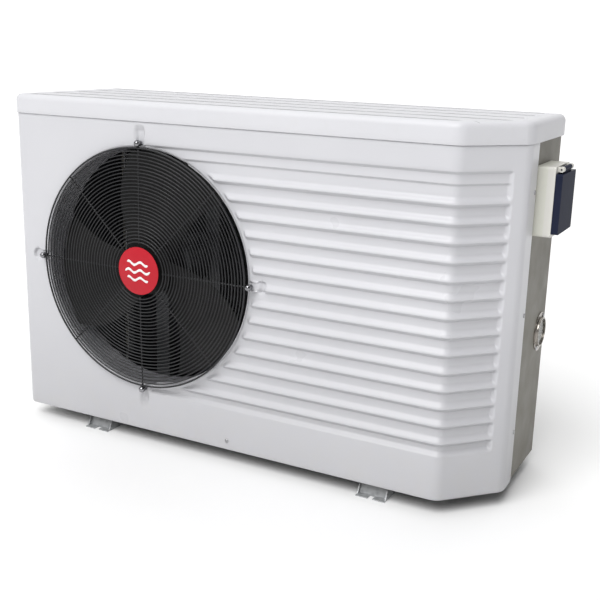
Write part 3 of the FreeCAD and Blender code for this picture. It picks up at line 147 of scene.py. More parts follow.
@contextmanager
def editing(piece):
    """Opens a piece's mesh for editing and writes it back."""
    work = bmesh.new()
    work.from_mesh(piece.data)
    yield work
    work.to_mesh(piece.data)
    work.free()


def grid_faces(rows, columns, offset=0, closed=False):
    """Quads of a grid of rows by columns points."""
    faces = []
    wrap = columns if closed else columns - 1
    for r in range(rows - 1):
        for c in range(wrap):
            n = (c + 1) % columns
            faces.append((offset + r * columns + c, offset + r * columns + n,
                          offset + (r + 1) * columns + n, offset + (r + 1) * columns + c))
    return faces


# Materials ------------------------------------------------------------------------------------

class Nodes:
    """Short way to fill a node tree."""

    def __init__(self, tree):
        self.tree = tree
        self.texture = tree.nodes.new("ShaderNodeTexCoord")
        self.coords = self.texture.outputs["Object"]

    def feed(self, socket, value):
        """Links another node's output to a socket, or gives the socket a fixed value."""
        if isinstance(value, bpy.types.NodeSocket):
            self.tree.links.new(value, socket)
        else:
            socket.default_value = value

    def add(self, kind, **inputs):
        node = self.tree.nodes.new(kind)
        for key, value in inputs.items():
            self.feed(node.inputs[key.replace("_", " ")], value)
        return node

    def noise(self, scale, detail=4.0, roughness=0.55, stretch=None):
        vector = self.coords
        if stretch:
            vector = self.add("ShaderNodeMapping", Vector=self.coords, Scale=stretch).outputs["Vector"]
        return self.add("ShaderNodeTexNoise", Vector=vector, Scale=scale, Detail=detail,
                        Roughness=roughness).outputs["Fac"]

    def ramp(self, value, low, high, out_low=0.0, out_high=1.0, shape="LINEAR"):
        node = self.add("ShaderNodeMapRange", Value=value, From_Min=low, From_Max=high,
                        To_Min=out_low, To_Max=out_high)
        node.interpolation_type = shape
        return node.outputs["Result"]

    def soft_ramp(self, value, low, high, out_low=0.0, out_high=1.0):
        return self.ramp(value, low, high, out_low, out_high, "SMOOTHSTEP")

    def math(self, operation, first, second=0.5):
        node = self.add("ShaderNodeMath")
        node.operation = operation
        self.feed(node.inputs[0], first)
        self.feed(node.inputs[1], second)
        return node.outputs["Value"]

    def mix(self, factor, first, second, blend="MIX"):
        """Blends two colours; the numbers pick the node's colour sockets."""
        node = self.add("ShaderNodeMix")
        node.data_type = "RGBA"
        node.blend_type = blend
        self.feed(node.inputs[0], factor)
        self.feed(node.inputs[6], first)
        self.feed(node.inputs[7], second)
        return node.outputs[2]


class Surface(Nodes):
    """One procedural material."""

    def __init__(self, name):
        self.material = bpy.data.materials.new(name)
        self.material.use_nodes = True
        super().__init__(self.material.node_tree)
        self.shader = self.tree.nodes["Principled BSDF"]

    def link(self, value, socket):
        self.tree.links.new(value, self.shader.inputs[socket])

    def bump(self, height, distance):
        node = self.add("ShaderNodeBump", Height=height, Strength=1.0, Distance=distance)
        self.link(node.outputs["Normal"], "Normal")

    def set(self, **values):
        for key, value in values.items():
            self.shader.inputs[key.replace("_", " ")].default_value = value


def rgb(red, green, blue):
    return (red, green, blue, 1.0)


def finish(name, color, dark, roughness, spread_rough=0.08, metallic=0.0, grain=60.0,
           bump=0.00004, stretch=None, coat=0.0, shine=0.5):
    """General finish: two close colours in soft clouds, uneven gloss and a fine surface grain."""
    m = Surface(name)
    clouds = m.ramp(m.noise(9.0, 5.0), 0.35, 0.68)
    m.link(m.mix(clouds, rgb(*dark), rgb(*color)), "Base Color")
    gloss = m.ramp(m.noise(23.0, 6.0), 0.3, 0.7, roughness - spread_rough, roughness + spread_rough)
    m.link(gloss, "Roughness")
    m.set(Metallic=metallic, Specular_IOR_Level=shine)
    if coat:
        m.set(Coat_Weight=coat, Coat_Roughness=0.12)
    m.bump(m.noise(grain, 3.0, stretch=stretch), bump)
    return m.material


def shell_plastic():
    """White-grey moulded ABS: faint mottling, soft gloss, dust settling low on the case, painted shade on
    its downward-facing surfaces and painted shade darkening it towards the bottom.
    """
    m = Surface("shell_white_abs")
    clouds = m.ramp(m.noise(5.0, 4.0), 0.3, 0.7)
    base = m.mix(clouds, rgb(0.595, 0.595, 0.622), rgb(0.617, 0.617, 0.642))
    split = m.add("ShaderNodeSeparateXYZ", Vector=m.coords)
    low = m.ramp(split.outputs["Z"], 0.03, 0.16, 0.5, 0.0)
    dust = m.math("MULTIPLY", low, m.ramp(m.noise(40.0, 6.0), 0.4, 0.75, 0.0, 0.5))
    base = m.mix(dust, base, rgb(0.60, 0.58, 0.54))
    # Painted shade: surfaces that face downward, such as the undersides of the ribs and steps, are
    # darkened towards grey.
    facing = m.add("ShaderNodeSeparateXYZ", Vector=m.texture.outputs["Normal"]).outputs["Z"]
    painted_shade_mask = m.ramp(facing, -0.10, -0.62, 0.0, 0.40)
    base = m.mix(m.math("MULTIPLY", painted_shade_mask, m.ramp(m.noise(30.0, 4.0), 0.3, 0.7, 0.8, 1.0)),
                 base, rgb(0.30, 0.30, 0.31))
    # Painted shade: the colour is multiplied down to 0.78 near the bottom of the case, rising to full at
    # 0.40 m, as if light fell from above.
    shade = m.ramp(split.outputs["Z"], 0.03, 0.40, 0.78, 1.0)
    grey = m.add("ShaderNodeCombineColor", Red=shade, Green=shade, Blue=shade).outputs["Color"]
    base = m.mix(1.0, base, grey, "MULTIPLY")
    m.link(base, "Base Color")
    m.link(m.ramp(m.noise(6.0, 3.0), 0.3, 0.7, 0.27, 0.32), "Roughness")
    m.set(IOR=1.5)
    m.bump(m.noise(420.0, 2.0), 0.00003)
    return m.material


def galvanised_steel():
    """Zinc spangle: crystal cells of slightly different grey, warm stains, and painted shade that darkens
    the parts above floor level.
    """
    m = Surface("galvanised_steel")
    cells = m.add("ShaderNodeTexVoronoi", Vector=m.coords, Scale=110.0)
    grey = m.ramp(cells.outputs["Distance"], 0.0, 0.6)
    base = m.mix(grey, rgb(0.31, 0.32, 0.33), rgb(0.46, 0.47, 0.48))
    stain = m.ramp(m.noise(30.0, 6.0), 0.55, 0.8, 0.0, 0.5)
    base = m.mix(stain, base, rgb(0.42, 0.40, 0.37))
    split = m.add("ShaderNodeSeparateXYZ", Vector=m.coords)
    # Painted shade: from 3 mm to 24 mm above the floor the colour is blended towards near-black, 85 % of
    # the way above that, so only the parts at floor level keep the zinc grey.
    painted_shade_mask = m.ramp(split.outputs["Z"], 0.003, 0.024, 0.0, 0.85)
    base = m.mix(painted_shade_mask, base, rgb(0.13, 0.13, 0.125))
    m.link(base, "Base Color")
    m.link(m.ramp(cells.outputs["Distance"], 0.0, 0.7, 0.28, 0.46), "Roughness")
    m.set(Metallic=0.45)
    m.bump(m.noise(260.0, 3.0), 0.00004)
    return m.material


def smoked_plastic():
    """Dark see-through cover with a blue cast and faint handling marks."""
    m = Surface("smoked_cover")
    base = m.mix(m.ramp(m.noise(12.0, 4.0), 0.3, 0.7), rgb(0.022, 0.026, 0.048), rgb(0.016, 0.020, 0.038))
    m.link(base, "Base Color")
    m.link(m.ramp(m.noise(40.0, 6.0, stretch=(1.0, 1.0, 6.0)), 0.4, 0.7, 0.10, 0.18), "Roughness")
    m.set(IOR=1.03)
    m.bump(m.noise(30.0, 2.0), 0.000002)
    return m.material


def clear_glass():
    """Gauge window: thin clear glass with a trace of dust."""
    m = Surface("clear_glass")
    dust = m.ramp(m.noise(70.0, 6.0), 0.55, 0.8, 0.02, 0.16)
    m.link(m.mix(dust, rgb(0.95, 0.97, 0.96), rgb(0.70, 0.70, 0.66)), "Base Color")
    m.link(dust, "Roughness")
    m.set(IOR=1.12, Transmission_Weight=1.0)
    m.bump(m.noise(40.0, 2.0), 0.000004)
    return m.material


def groove_painted_shade(m):
    """Painted shade: grey darkening along the lid's grooves."""
    split = m.add("ShaderNodeSeparateXYZ", Vector=m.coords)
    turn = m.math("DIVIDE", m.math("SUBTRACT", split.outputs["Y"], GROOVE_FIRST_Y * MM), GROOVE_PITCH * MM)
    across = m.math("ABSOLUTE", m.math("SUBTRACT", turn, m.math("ROUND", turn)))
    near = m.ramp(across, 9.0 / GROOVE_PITCH, 8.2 / GROOVE_PITCH)
    deep = m.ramp(split.outputs["Z"], (TOP - 0.04) * MM, (TOP - 0.2) * MM)
    above = m.ramp(split.outputs["Z"], (TOP - 3.0) * MM, (TOP - 2.6) * MM)
    right_end = m.ramp(split.outputs["Y"], -0.135, -0.125, KNUCKLE_X * MM - 0.020, RIGHT * MM - 0.034)
    inside = m.math("MULTIPLY", m.ramp(split.outputs["X"], (LEFT + 14) * MM, (LEFT + 16) * MM),
                    m.math("LESS_THAN", split.outputs["X"], right_end))
    groove_shade = m.math("MULTIPLY", m.math("MULTIPLY", near, deep), m.math("MULTIPLY", above, inside))
    return m.math("MULTIPLY", groove_shade, m.ramp(m.noise(50.0, 5.0), 0.3, 0.7, 0.55, 0.85))


def lid_plastic():
    """Top of the same ABS, dulled by sun and dust, with painted shade darkening its grooves."""
    m = Surface("lid_white_abs")
    clouds = m.ramp(m.noise(5.0, 4.0), 0.3, 0.7)
    base = m.mix(clouds, rgb(0.645, 0.645, 0.673), rgb(0.668, 0.668, 0.694))
    dust = m.ramp(m.noise(60.0, 6.0), 0.55, 0.85, 0.0, 0.12)
    base = m.mix(dust, base, rgb(0.56, 0.55, 0.52))
    # Painted shade in the grooves, blended towards grey.
    base = m.mix(groove_painted_shade(m), base, rgb(0.30, 0.30, 0.31))
    m.link(base, "Base Color")
    m.link(m.ramp(m.noise(9.0, 4.0), 0.3, 0.7, 0.36, 0.44), "Roughness")
    m.set(IOR=1.5, Specular_IOR_Level=0.36)
    m.bump(m.noise(420.0, 2.0), 0.00003)
    return m.material


MATERIALS = {
    "shell": shell_plastic(),
    "galvanised": galvanised_steel(),
    # Painted shade: the shroud's white ABS is given a mid-grey colour for the shade inside the fan
    # opening.
    "shroud": finish("shroud_abs_painted_shade", (0.34, 0.34, 0.36), (0.30, 0.30, 0.32), 0.40, grain=420.0,
                     bump=0.00003),
    # The side panels' warm grey is partly their paint and partly painted shade: the colour is darkened for
    # the shade the right side lies in.
    "side": finish("side_grey_paint_and_painted_shade", (0.196, 0.185, 0.156), (0.179, 0.169, 0.143), 0.50, grain=600.0,
                   bump=0.00005, shine=0.3),
    "lid": lid_plastic(),
    "wire": finish("black_coated_wire", (0.026, 0.026, 0.028), (0.016, 0.016, 0.018), 0.42, grain=500.0,
                   bump=0.00002, shine=0.4),
    "red": finish("badge_red", (0.50, 0.008, 0.022), (0.45, 0.007, 0.018), 0.42, grain=300.0,
                  bump=0.00001, shine=0.3),
    "black_plastic": finish("black_plastic", (0.022, 0.022, 0.023), (0.014, 0.014, 0.015), 0.45,
                            grain=350.0, bump=0.00004),
    "blade": finish("fan_blade_plastic", (0.013, 0.013, 0.013), (0.009, 0.009, 0.009), 0.62, grain=350.0,
                    bump=0.00004, shine=0.3),
    "steel": finish("machined_steel", (0.62, 0.62, 0.62), (0.50, 0.50, 0.51), 0.28, metallic=1.0,
                    grain=160.0, bump=0.00002, stretch=(1.0, 12.0, 1.0)),
    "black_nickel": finish("black_nickel", (0.30, 0.30, 0.31), (0.22, 0.22, 0.23), 0.17,
                           spread_rough=0.05, metallic=1.0, grain=200.0, bump=0.00001),
    "motor": finish("motor_enamel", (0.12, 0.125, 0.13), (0.09, 0.09, 0.095), 0.40, grain=240.0,
                    bump=0.00005),
    # The fins' dark colour is partly a dark coating and partly painted shade for the dim inside of the fan
    # chamber.
    "fin": finish("fin_dark_coating_and_painted_shade", (0.085, 0.090, 0.10), (0.055, 0.058, 0.065), 0.42, metallic=0.4,
                  grain=220.0, bump=0.00004),
    "copper": finish("drawn_copper", (0.72, 0.33, 0.18), (0.52, 0.22, 0.12), 0.30, metallic=1.0,
                     grain=120.0, bump=0.00002),
    "enamel_black": finish("compressor_enamel", (0.018, 0.018, 0.018), (0.012, 0.012, 0.012), 0.28,
                           grain=260.0, bump=0.00004, coat=0.3),
    "rubber": finish("black_rubber", (0.020, 0.020, 0.020), (0.030, 0.030, 0.030), 0.70, grain=420.0,
                     bump=0.00006),
    "vessel": finish("vessel_plastic", (0.22, 0.24, 0.26), (0.18, 0.20, 0.22), 0.45, grain=300.0,
                     bump=0.00005),
    "titanium": finish("titanium", (0.46, 0.44, 0.42), (0.38, 0.37, 0.36), 0.35, metallic=1.0),
    "pipe": finish("white_pipe", (0.80, 0.80, 0.78), (0.74, 0.74, 0.72), 0.32, grain=260.0, bump=0.00003),
    "union": finish("union_plastic", (0.055, 0.060, 0.066), (0.040, 0.044, 0.050), 0.42, grain=320.0,
                    bump=0.00005),
    "brass": finish("brass", (0.68, 0.50, 0.22), (0.52, 0.38, 0.16), 0.30, metallic=1.0),
    "coil": finish("coil_plastic", (0.030, 0.030, 0.034), (0.022, 0.022, 0.025), 0.50),
    "board": finish("circuit_board", (0.012, 0.14, 0.045), (0.010, 0.10, 0.035), 0.35),
    "ivory": finish("ivory_plastic", (0.62, 0.60, 0.52), (0.56, 0.54, 0.47), 0.48),
    "cream": finish("cream_plastic", (0.69, 0.68, 0.63), (0.65, 0.64, 0.60), 0.40, grain=420.0,
                    bump=0.00005),
    "cream_base": finish("cream_base_plastic", (0.68, 0.68, 0.61), (0.63, 0.63, 0.56), 0.50, grain=420.0,
                         bump=0.00005),
    "lcd": finish("lcd_window", (0.16, 0.21, 0.17), (0.14, 0.18, 0.15), 0.15, coat=0.6),
    "smoked": smoked_plastic(),
    "glass": clear_glass(),
    "key": finish("key_rubber", (0.30, 0.32, 0.35), (0.26, 0.28, 0.31), 0.60),
    "chrome": finish("chrome", (0.42, 0.39, 0.36), (0.30, 0.28, 0.25), 0.26, spread_rough=0.06,
                     metallic=1.0, grain=50.0, bump=0.00001),
    "dial": finish("dial_white", (0.84, 0.84, 0.82), (0.80, 0.80, 0.78), 0.5),
    "ink": finish("ink_black", (0.02, 0.02, 0.02), (0.03, 0.03, 0.03), 0.5),
    "white_ink": finish("white_ink", (0.82, 0.82, 0.82), (0.78, 0.78, 0.78), 0.3, coat=0.4),
    "screw": finish("zinc_screw", (0.52, 0.52, 0.53), (0.36, 0.36, 0.37), 0.30, metallic=1.0,
                    grain=300.0, bump=0.00003),
}

NODE_MATERIALS = {
    "base_pan": "galvanised", "drain_spout": "black_plastic", "foot_rail_left": "galvanised",
    "foot_rail_right": "galvanised", "front_shell": "shell", "top_cover": "lid",
    "right_side_panel": "side", "rear_panel": "side", "corner_post": "side", "coil_guard": "wire",
    "partition_panel": "galvanised", "fan_shroud": "shroud", "fan_grille": "wire", "grille_badge": "red",
    "grille_nuts": "black_nickel", "fan_blades": "blade", "fan_shaft": "steel", "fan_nut": "steel",
    # The motor bracket takes the dark motor enamel, partly a real enamel and partly painted shade for the
    # dim fan chamber.
    "fan_motor": "motor", "motor_bracket": "motor", "evaporator_fins": "fin",
    "evaporator_tubes": "copper", "compressor": "enamel_black", "accumulator": "enamel_black",
    "compressor_grommets": "rubber", "compressor_bolts": "steel", "exchanger_vessel": "vessel",
    "titanium_coil": "titanium", "water_inlet_pipe": "pipe", "water_outlet_pipe": "pipe",
    "union_nuts": "union", "flow_switch_body": "coil", "flow_switch_paddle": "titanium",
    "four_way_valve": "brass", "valve_slider": "brass", "valve_coil": "coil", "filter_drier": "copper",
    "expansion_valve": "brass", "discharge_pipe": "copper", "suction_pipes": "copper",
    "liquid_pipe": "copper", "service_port": "brass", "electrical_box": "galvanised",
    "circuit_board": "board", "terminal_block": "ivory", "contactor": "ivory", "cable_glands": "rubber",
    "gauge_case": "chrome", "gauge_dial": "dial", "gauge_needle": "ink", "gauge_glass": "glass",
    "controller_base": "cream_base", "controller_body": "cream", "controller_display": "lcd",
    "button_power": "key", "button_mode": "key", "button_up": "key", "button_down": "key",
    "controller_cover": "smoked", "panel_screws": "screw",
}


def dress_cad_nodes():
    for node, key in NODE_MATERIALS.items():
        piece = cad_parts[node]
        piece.data.materials.clear()
        piece.data.materials.append(MATERIALS[key])


# Front shell ----------------------------------------------------------------------------------

TURN = math.atan2(CHAMFER_Y, CHAMFER_X)
TURN_SIDE = math.pi / 2 - TURN
REACH = KNUCKLE_R * math.tan(TURN / 2)
REACH_SIDE = KNUCKLE_R * math.tan(TURN_SIDE / 2)
CHAMFER = math.hypot(CHAMFER_X, CHAMFER_Y)
CHAMFER_DIRECTION = Vector((math.cos(TURN), math.sin(TURN), 0))


def on_arc(centre, radius, angle):
    """Point on a plan arc and the outward normal there."""
    normal = Vector((math.cos(angle), math.sin(angle), 0))
    return Vector(centre) + normal * radius, normal


def ridge(offset):
    """Height of one rounded ridge, 0 in the valley and 1 on the crest; offset is from its middle."""
    rise = smoothstep(-8.0, -0.6, offset)
    fall = smoothstep(0.4, 11.5, offset)
    return rise * (1 - fall)


def field_depth(z, ridge_share=1.0):
    """Depth of the ribbed field at a height; ridge_share is 0 past the ends of the ridges."""
    foot = smoothstep(FIELD_BOTTOM - 1, FIELD_BOTTOM + 9, z)
    first_step = smoothstep(FIELD_TOP + 1.0, FIELD_TOP - 5.0, z)
    second_step = smoothstep(FIELD_TOP - 19.0, FIELD_TOP - 24.0, z)
    depth = RIB_DEPTH * foot * (0.6 * first_step + 0.4 * second_step)
    index = round((z - RIB_FIRST_Z) / RIB_PITCH)
    if 0 <= index < RIB_COUNT:
        depth *= 1 - 0.96 * ridge_share * ridge(z - RIB_FIRST_Z - index * RIB_PITCH)
    return depth


def dimple_depth(x, z):
    """Round bowl outward from each grille fixing, open towards the nut."""
    dx = x - FAN_X
    dz = z - FAN_Z
    radius = math.hypot(dx, dz)
    if radius < 200 or radius > 290:
        return 0.0
    across = min(abs(dx), abs(dz))
    outward = max(abs(dx), abs(dz))
    bowl = smoothstep(12.5, 9.0, math.hypot(across, outward - DIMPLE_CIRCLE_R))
    run = smoothstep(9.0, 6.0, across) * smoothstep(264.0, 254.0, outward)
    return DIMPLE_DEPTH * max(bowl, run)


def front_depth(x, z):
    """How far the skin lies behind the front plane."""
    radius = math.hypot(x - FAN_X, z - FAN_Z)
    if x < FAN_X:
        return dimple_depth(x, z)
    pad = math.hypot((x - FAN_X - NUT_PAD_OUT) * 0.8, z - FAN_Z)
    ridges = smoothstep(238.0, 247.0, radius) * smoothstep(8.0, 17.0, pad)
    pocket = smoothstep(FAN_X + 7, FAN_X + 17, x) * smoothstep(5.0, 13.0, pad)
    return field_depth(z, ridges) * pocket + dimple_depth(x, z)


def shell_rows():
    """Heights of the shell's rows, closer together on the slopes of the ribs."""
    rows = spread(BOTTOM, FIELD_BOTTOM - 2, 8)[:-1]
    rows += spread(FIELD_BOTTOM - 2, FIELD_BOTTOM + 10, 8)[:-1]
    slopes = [-12.0, -9.2, -7.8, -6.6, -5.4, -4.2, -3.0, -1.8, -0.5, 0.6]
    slopes += [2.2, 4.0, 5.8, 7.6, 9.4, 11.2, 13.5]
    for index in range(RIB_COUNT):
        centre = RIB_FIRST_Z + index * RIB_PITCH
        rows += [centre + offset for offset in slopes]
    rows = [z for z in rows if z < FIELD_TOP - 28]
    rows += spread(FIELD_TOP - 28, FIELD_TOP + 1, 24)[:-1]
    rows += spread(FIELD_TOP + 1, SEAM - 0.5, 6)
    for angle in spread(0, math.radians(24), 16):
        rows += [FAN_Z - EDGE_R * math.cos(angle), FAN_Z + EDGE_R * math.cos(angle)]
    return sorted(set(round(z, 3) for z in rows))


def shell_columns():
    """Plan points right of the fan patch: (point, outward normal, share of rib depth)."""
    columns = []
    bend_x = KNUCKLE_X - REACH
    for x in spread(PATCH_RIGHT, bend_x, 14):
        columns.append((Vector((x, FRONT, 0)), Vector((0, -1, 0)), 1.0))
    for angle in spread(-math.pi / 2, -math.pi / 2 + TURN, 16)[1:]:
        point, normal = on_arc((bend_x, FRONT + KNUCKLE_R, 0), KNUCKLE_R, angle)
        columns.append((point, normal, 1.0))
    corner = Vector((KNUCKLE_X, FRONT, 0))
    normal = Vector((math.sin(TURN), -math.cos(TURN), 0))
    steps = spread(REACH, FIELD_CHAMFER_END - 12, 6)[1:]
    steps += spread(FIELD_CHAMFER_END - 12, FIELD_CHAMFER_END + 1, 11)[1:]
    steps += [CHAMFER - REACH_SIDE]
    for along in steps:
        share = smoothstep(FIELD_CHAMFER_END, FIELD_CHAMFER_END - 8, along)
        columns.append((corner + CHAMFER_DIRECTION * along, normal, share))
    centre = (RIGHT - KNUCKLE_R, FRONT + CHAMFER_Y + REACH_SIDE, 0)
    for angle in spread(-TURN_SIDE, 0.0, 16)[1:]:
        point, normal = on_arc(centre, KNUCKLE_R, angle)
        columns.append((point, normal, 0.0))
    for y in spread(FRONT + CHAMFER_Y + REACH_SIDE, SHELL_RIGHT_END, 6)[1:]:
        columns.append((Vector((RIGHT, y, 0)), Vector((1, 0, 0)), 0.0))
    return columns


PATCH_LEFT = LEFT + FRONT_CORNER_R
PATCH_RIGHT = 105.0
EDGE_R = OPENING_R + LIP_R
RIGHT_STEPS = 96
LEFT_STEPS = 60


def left_columns():
    """Plan points from the fan patch round the left corner to the end of the side return."""
    columns = []
    centre = (PATCH_LEFT, FRONT + FRONT_CORNER_R, 0)
    for angle in spread(-math.pi / 2, -math.pi, 10):
        columns.append(on_arc(centre, FRONT_CORNER_R, angle))
    for y in spread(FRONT + FRONT_CORNER_R, SHELL_LEFT_END, 5)[1:]:
        columns.append((Vector((LEFT, y, 0)), Vector((-1, 0, 0))))
    return columns


def rounded_bottom(x):
    """Height of the shell's lower edge, which curves up at the left corner."""
    inward = BOTTOM_CORNER_R - (x - LEFT)
    if inward <= 3.1:
        return BOTTOM
    return BOTTOM + BOTTOM_CORNER_R - math.sqrt(max(BOTTOM_CORNER_R ** 2 - inward ** 2, 0.0))


def side_of_opening(rows, side, columns, crowd):
    """Points from the opening's edge (or its centre line) out to the patch's border, row by row."""
    border = PATCH_RIGHT if side > 0 else PATCH_LEFT
    points = []
    for z in rows:
        inner = FAN_X + side * math.sqrt(max(EDGE_R ** 2 - (z - FAN_Z) ** 2, 0.0))
        for step in range(columns + 1):
            x = inner + (border - inner) * (step / columns) ** crowd
            points.append((x, FRONT + front_depth(x, z), z))
    return points


def fan_patch(rows):
    """Points and faces of the rectangle round the fan opening, with the opening's rounded lip."""
    right = side_of_opening(rows, 1, RIGHT_STEPS, 1.5)
    left = side_of_opening(rows, -1, LEFT_STEPS, 1.3)
    faces = grid_faces(len(rows), RIGHT_STEPS + 1)
    faces += [tuple(reversed(face)) for face in grid_faces(len(rows), LEFT_STEPS + 1, len(right))]
    edge_rows = [r for r, z in enumerate(rows) if abs(z - FAN_Z) < EDGE_R + 0.01]
    inner = [right[r * (RIGHT_STEPS + 1)] for r in edge_rows]
    inner += [left[r * (LEFT_STEPS + 1)] for r in reversed(edge_rows[1:-1])]
    rings = [inner]
    for angle in spread(0, math.pi / 2, 8)[1:]:
        radius = OPENING_R + LIP_R * (1 - math.sin(angle))
        rings.append(lip_ring(inner, radius, LIP_R * (1 - math.cos(angle))))
    rings.append(lip_ring(inner, OPENING_R, LIP_DEPTH + 1))
    points = right + left
    faces += grid_faces(len(rings), len(inner), len(points), closed=True)
    points += [point for ring in rings for point in ring]
    return points, faces


def lip_ring(inner, radius, depth):
    ring = []
    for x, y, z in inner:
        angle = math.atan2(z - FAN_Z, x - FAN_X)
        deep = y + depth if depth <= LIP_R else FRONT + depth
        ring.append((FAN_X + radius * math.cos(angle), deep, FAN_Z + radius * math.sin(angle)))
    return ring


def column_grid(columns, rows):
    points = []
    for point, normal, share in columns:
        for z in rows:
            depth = field_depth(z) * share if share else 0.0
            at = point - normal * depth
            points.append((at.x, at.y, z))
    return points


def build_front_shell():
    rows = shell_rows()
    points, faces = fan_patch(rows)
    offset = len(points)
    columns = shell_columns()
    points += column_grid(columns, rows)
    faces += [tuple(reversed(face)) for face in grid_faces(len(columns), len(rows), offset)]
    offset = len(points)
    left = left_columns()
    for point, _ in left:
        low = rounded_bottom(point.x)
        for z in rows:
            height = low + (z - BOTTOM) * (rows[-1] - low) / (rows[-1] - BOTTOM)
            points.append((point.x, point.y, height))
    faces += grid_faces(len(left), len(rows), offset)
    piece = new_mesh("casing_front", points, faces, MATERIALS["shell"], "cabinet")
    weld(piece, 0.02)
    face_outwards(piece)
    thicken(piece, SHELL - 0.4)
    round_edges(piece, 0.8)
    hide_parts("front_shell")


def weld(piece, distance):
    with editing(piece) as work:
        bmesh.ops.remove_doubles(work, verts=work.verts, dist=distance * MM)


def face_outwards(piece):
    """Makes the faces agree, and turns them away from the object's middle if most face it."""
    middle = (Vector(cad_low) + Vector(cad_high)) / 2
    with editing(piece) as work:
        bmesh.ops.recalc_face_normals(work, faces=work.faces)
        score = sum(f.normal.dot(f.calc_center_median() - middle) * f.calc_area() for f in work.faces)
        if score < 0:
            bmesh.ops.reverse_faces(work, faces=work.faces)


def thicken(piece, wall):
    solid = piece.modifiers.new("wall", "SOLIDIFY")
    solid.thickness = wall * MM
    solid.offset = -1.0


def round_edges(piece, width, segments=2, angle=40.0):
    bevel = piece.modifiers.new("edges", "BEVEL")
    bevel.width = width * MM
    bevel.segments = segments
    bevel.limit_method = "ANGLE"
    bevel.angle_limit = math.radians(angle)
    bevel.harden_normals = False


# Lid ------------------------------------------------------------------------------------------

LID_OVERHANG = 2.0
LID_R = 12.0
LID_CORNER_R = 14.0
GROOVE_YS = [GROOVE_FIRST_Y + GROOVE_PITCH * k for k in range(5)]


def lid_side(y, inset):
    """Left and right edge of the lid at a depth y: (x, outward normal) each, with the outline inset."""
    shift = LID_OVERHANG - inset
    left = LEFT - shift
    right = RIGHT + shift
    front = FRONT - shift
    back = BACK + shift
    small = LID_CORNER_R - inset
    r = KNUCKLE_R + shift

    def arc(centre_x, centre_y, radius, side):
        """Edge point and normal on a plan arc at this depth; side is 1 on the right, -1 on the left."""
        sine = max(min((y - centre_y) / radius, 1.0), -1.0)
        cosine = side * math.sqrt(1 - sine * sine)
        return centre_x + radius * cosine, Vector((cosine, sine, 0))

    if y < front + small:
        left_edge = arc(left + small, front + small, small, -1)
    elif y > back - small:
        left_edge = arc(left + small, back - small, small, -1)
    else:
        left_edge = (left, Vector((-1, 0, 0)))

    # Centres of the two arcs at the ends of the chamfer
    first = Vector((KNUCKLE_X + (shift - r) * math.tan(TURN / 2), front + r, 0))
    second = Vector((right - r, FRONT + CHAMFER_Y - (shift - r) * math.tan(TURN_SIDE / 2), 0))
    chamfer_start = first.y - r * math.cos(TURN)
    if y < chamfer_start:
        right_edge = arc(first.x, first.y, r, 1)
    elif y < second.y - r * math.sin(TURN_SIDE):
        along = (y - chamfer_start) / math.sin(TURN)
        x = first.x + r * math.sin(TURN) + along * math.cos(TURN)
        right_edge = (x, Vector((math.sin(TURN), -math.cos(TURN), 0)))
    elif y < second.y:
        right_edge = arc(second.x, second.y, r, 1)
    elif y > back - small:
        right_edge = arc(right - small, back - small, small, 1)
    else:
        right_edge = (right, Vector((1, 0, 0)))
    return left_edge, right_edge


def lid_rows():
    front = FRONT - LID_OVERHANG + LID_R
    back = BACK + LID_OVERHANG - LID_R
    rows = [front, front + 0.1, front + 0.4, front + 1.0, front + 2.0, front + 3.2, front + 4.6]
    for y in GROOVE_YS:
        rows += [y + d for d in (-8.4, -7.9, -7.4, -7.0, 0.0, 7.0, 7.4, 7.9, 8.4)]
    rows += spread(front + 6, back - 3, 26)
    rows += [back - 2.0, back - 1.0, back - 0.4, back - 0.1, back]
    rows = sorted(set(round(y, 2) for y in rows if front <= y <= back))
    kept = [rows[0]]
    for y in rows[1:]:
        if y - kept[-1] > 0.05:
            kept.append(y)
    return kept


def groove_depth(x, y, left, right):
    depth = 0.0
    for line in GROOVE_YS:
        depth = max(depth, smoothstep(GROOVE_HALF_WIDTH, GROOVE_HALF_WIDTH - 1.0, abs(y - line)))
    ends = smoothstep(left + 14, left + 20, x) * smoothstep(right - 14, right - 20, x)
    return GROOVE_DEPTH * depth * ends


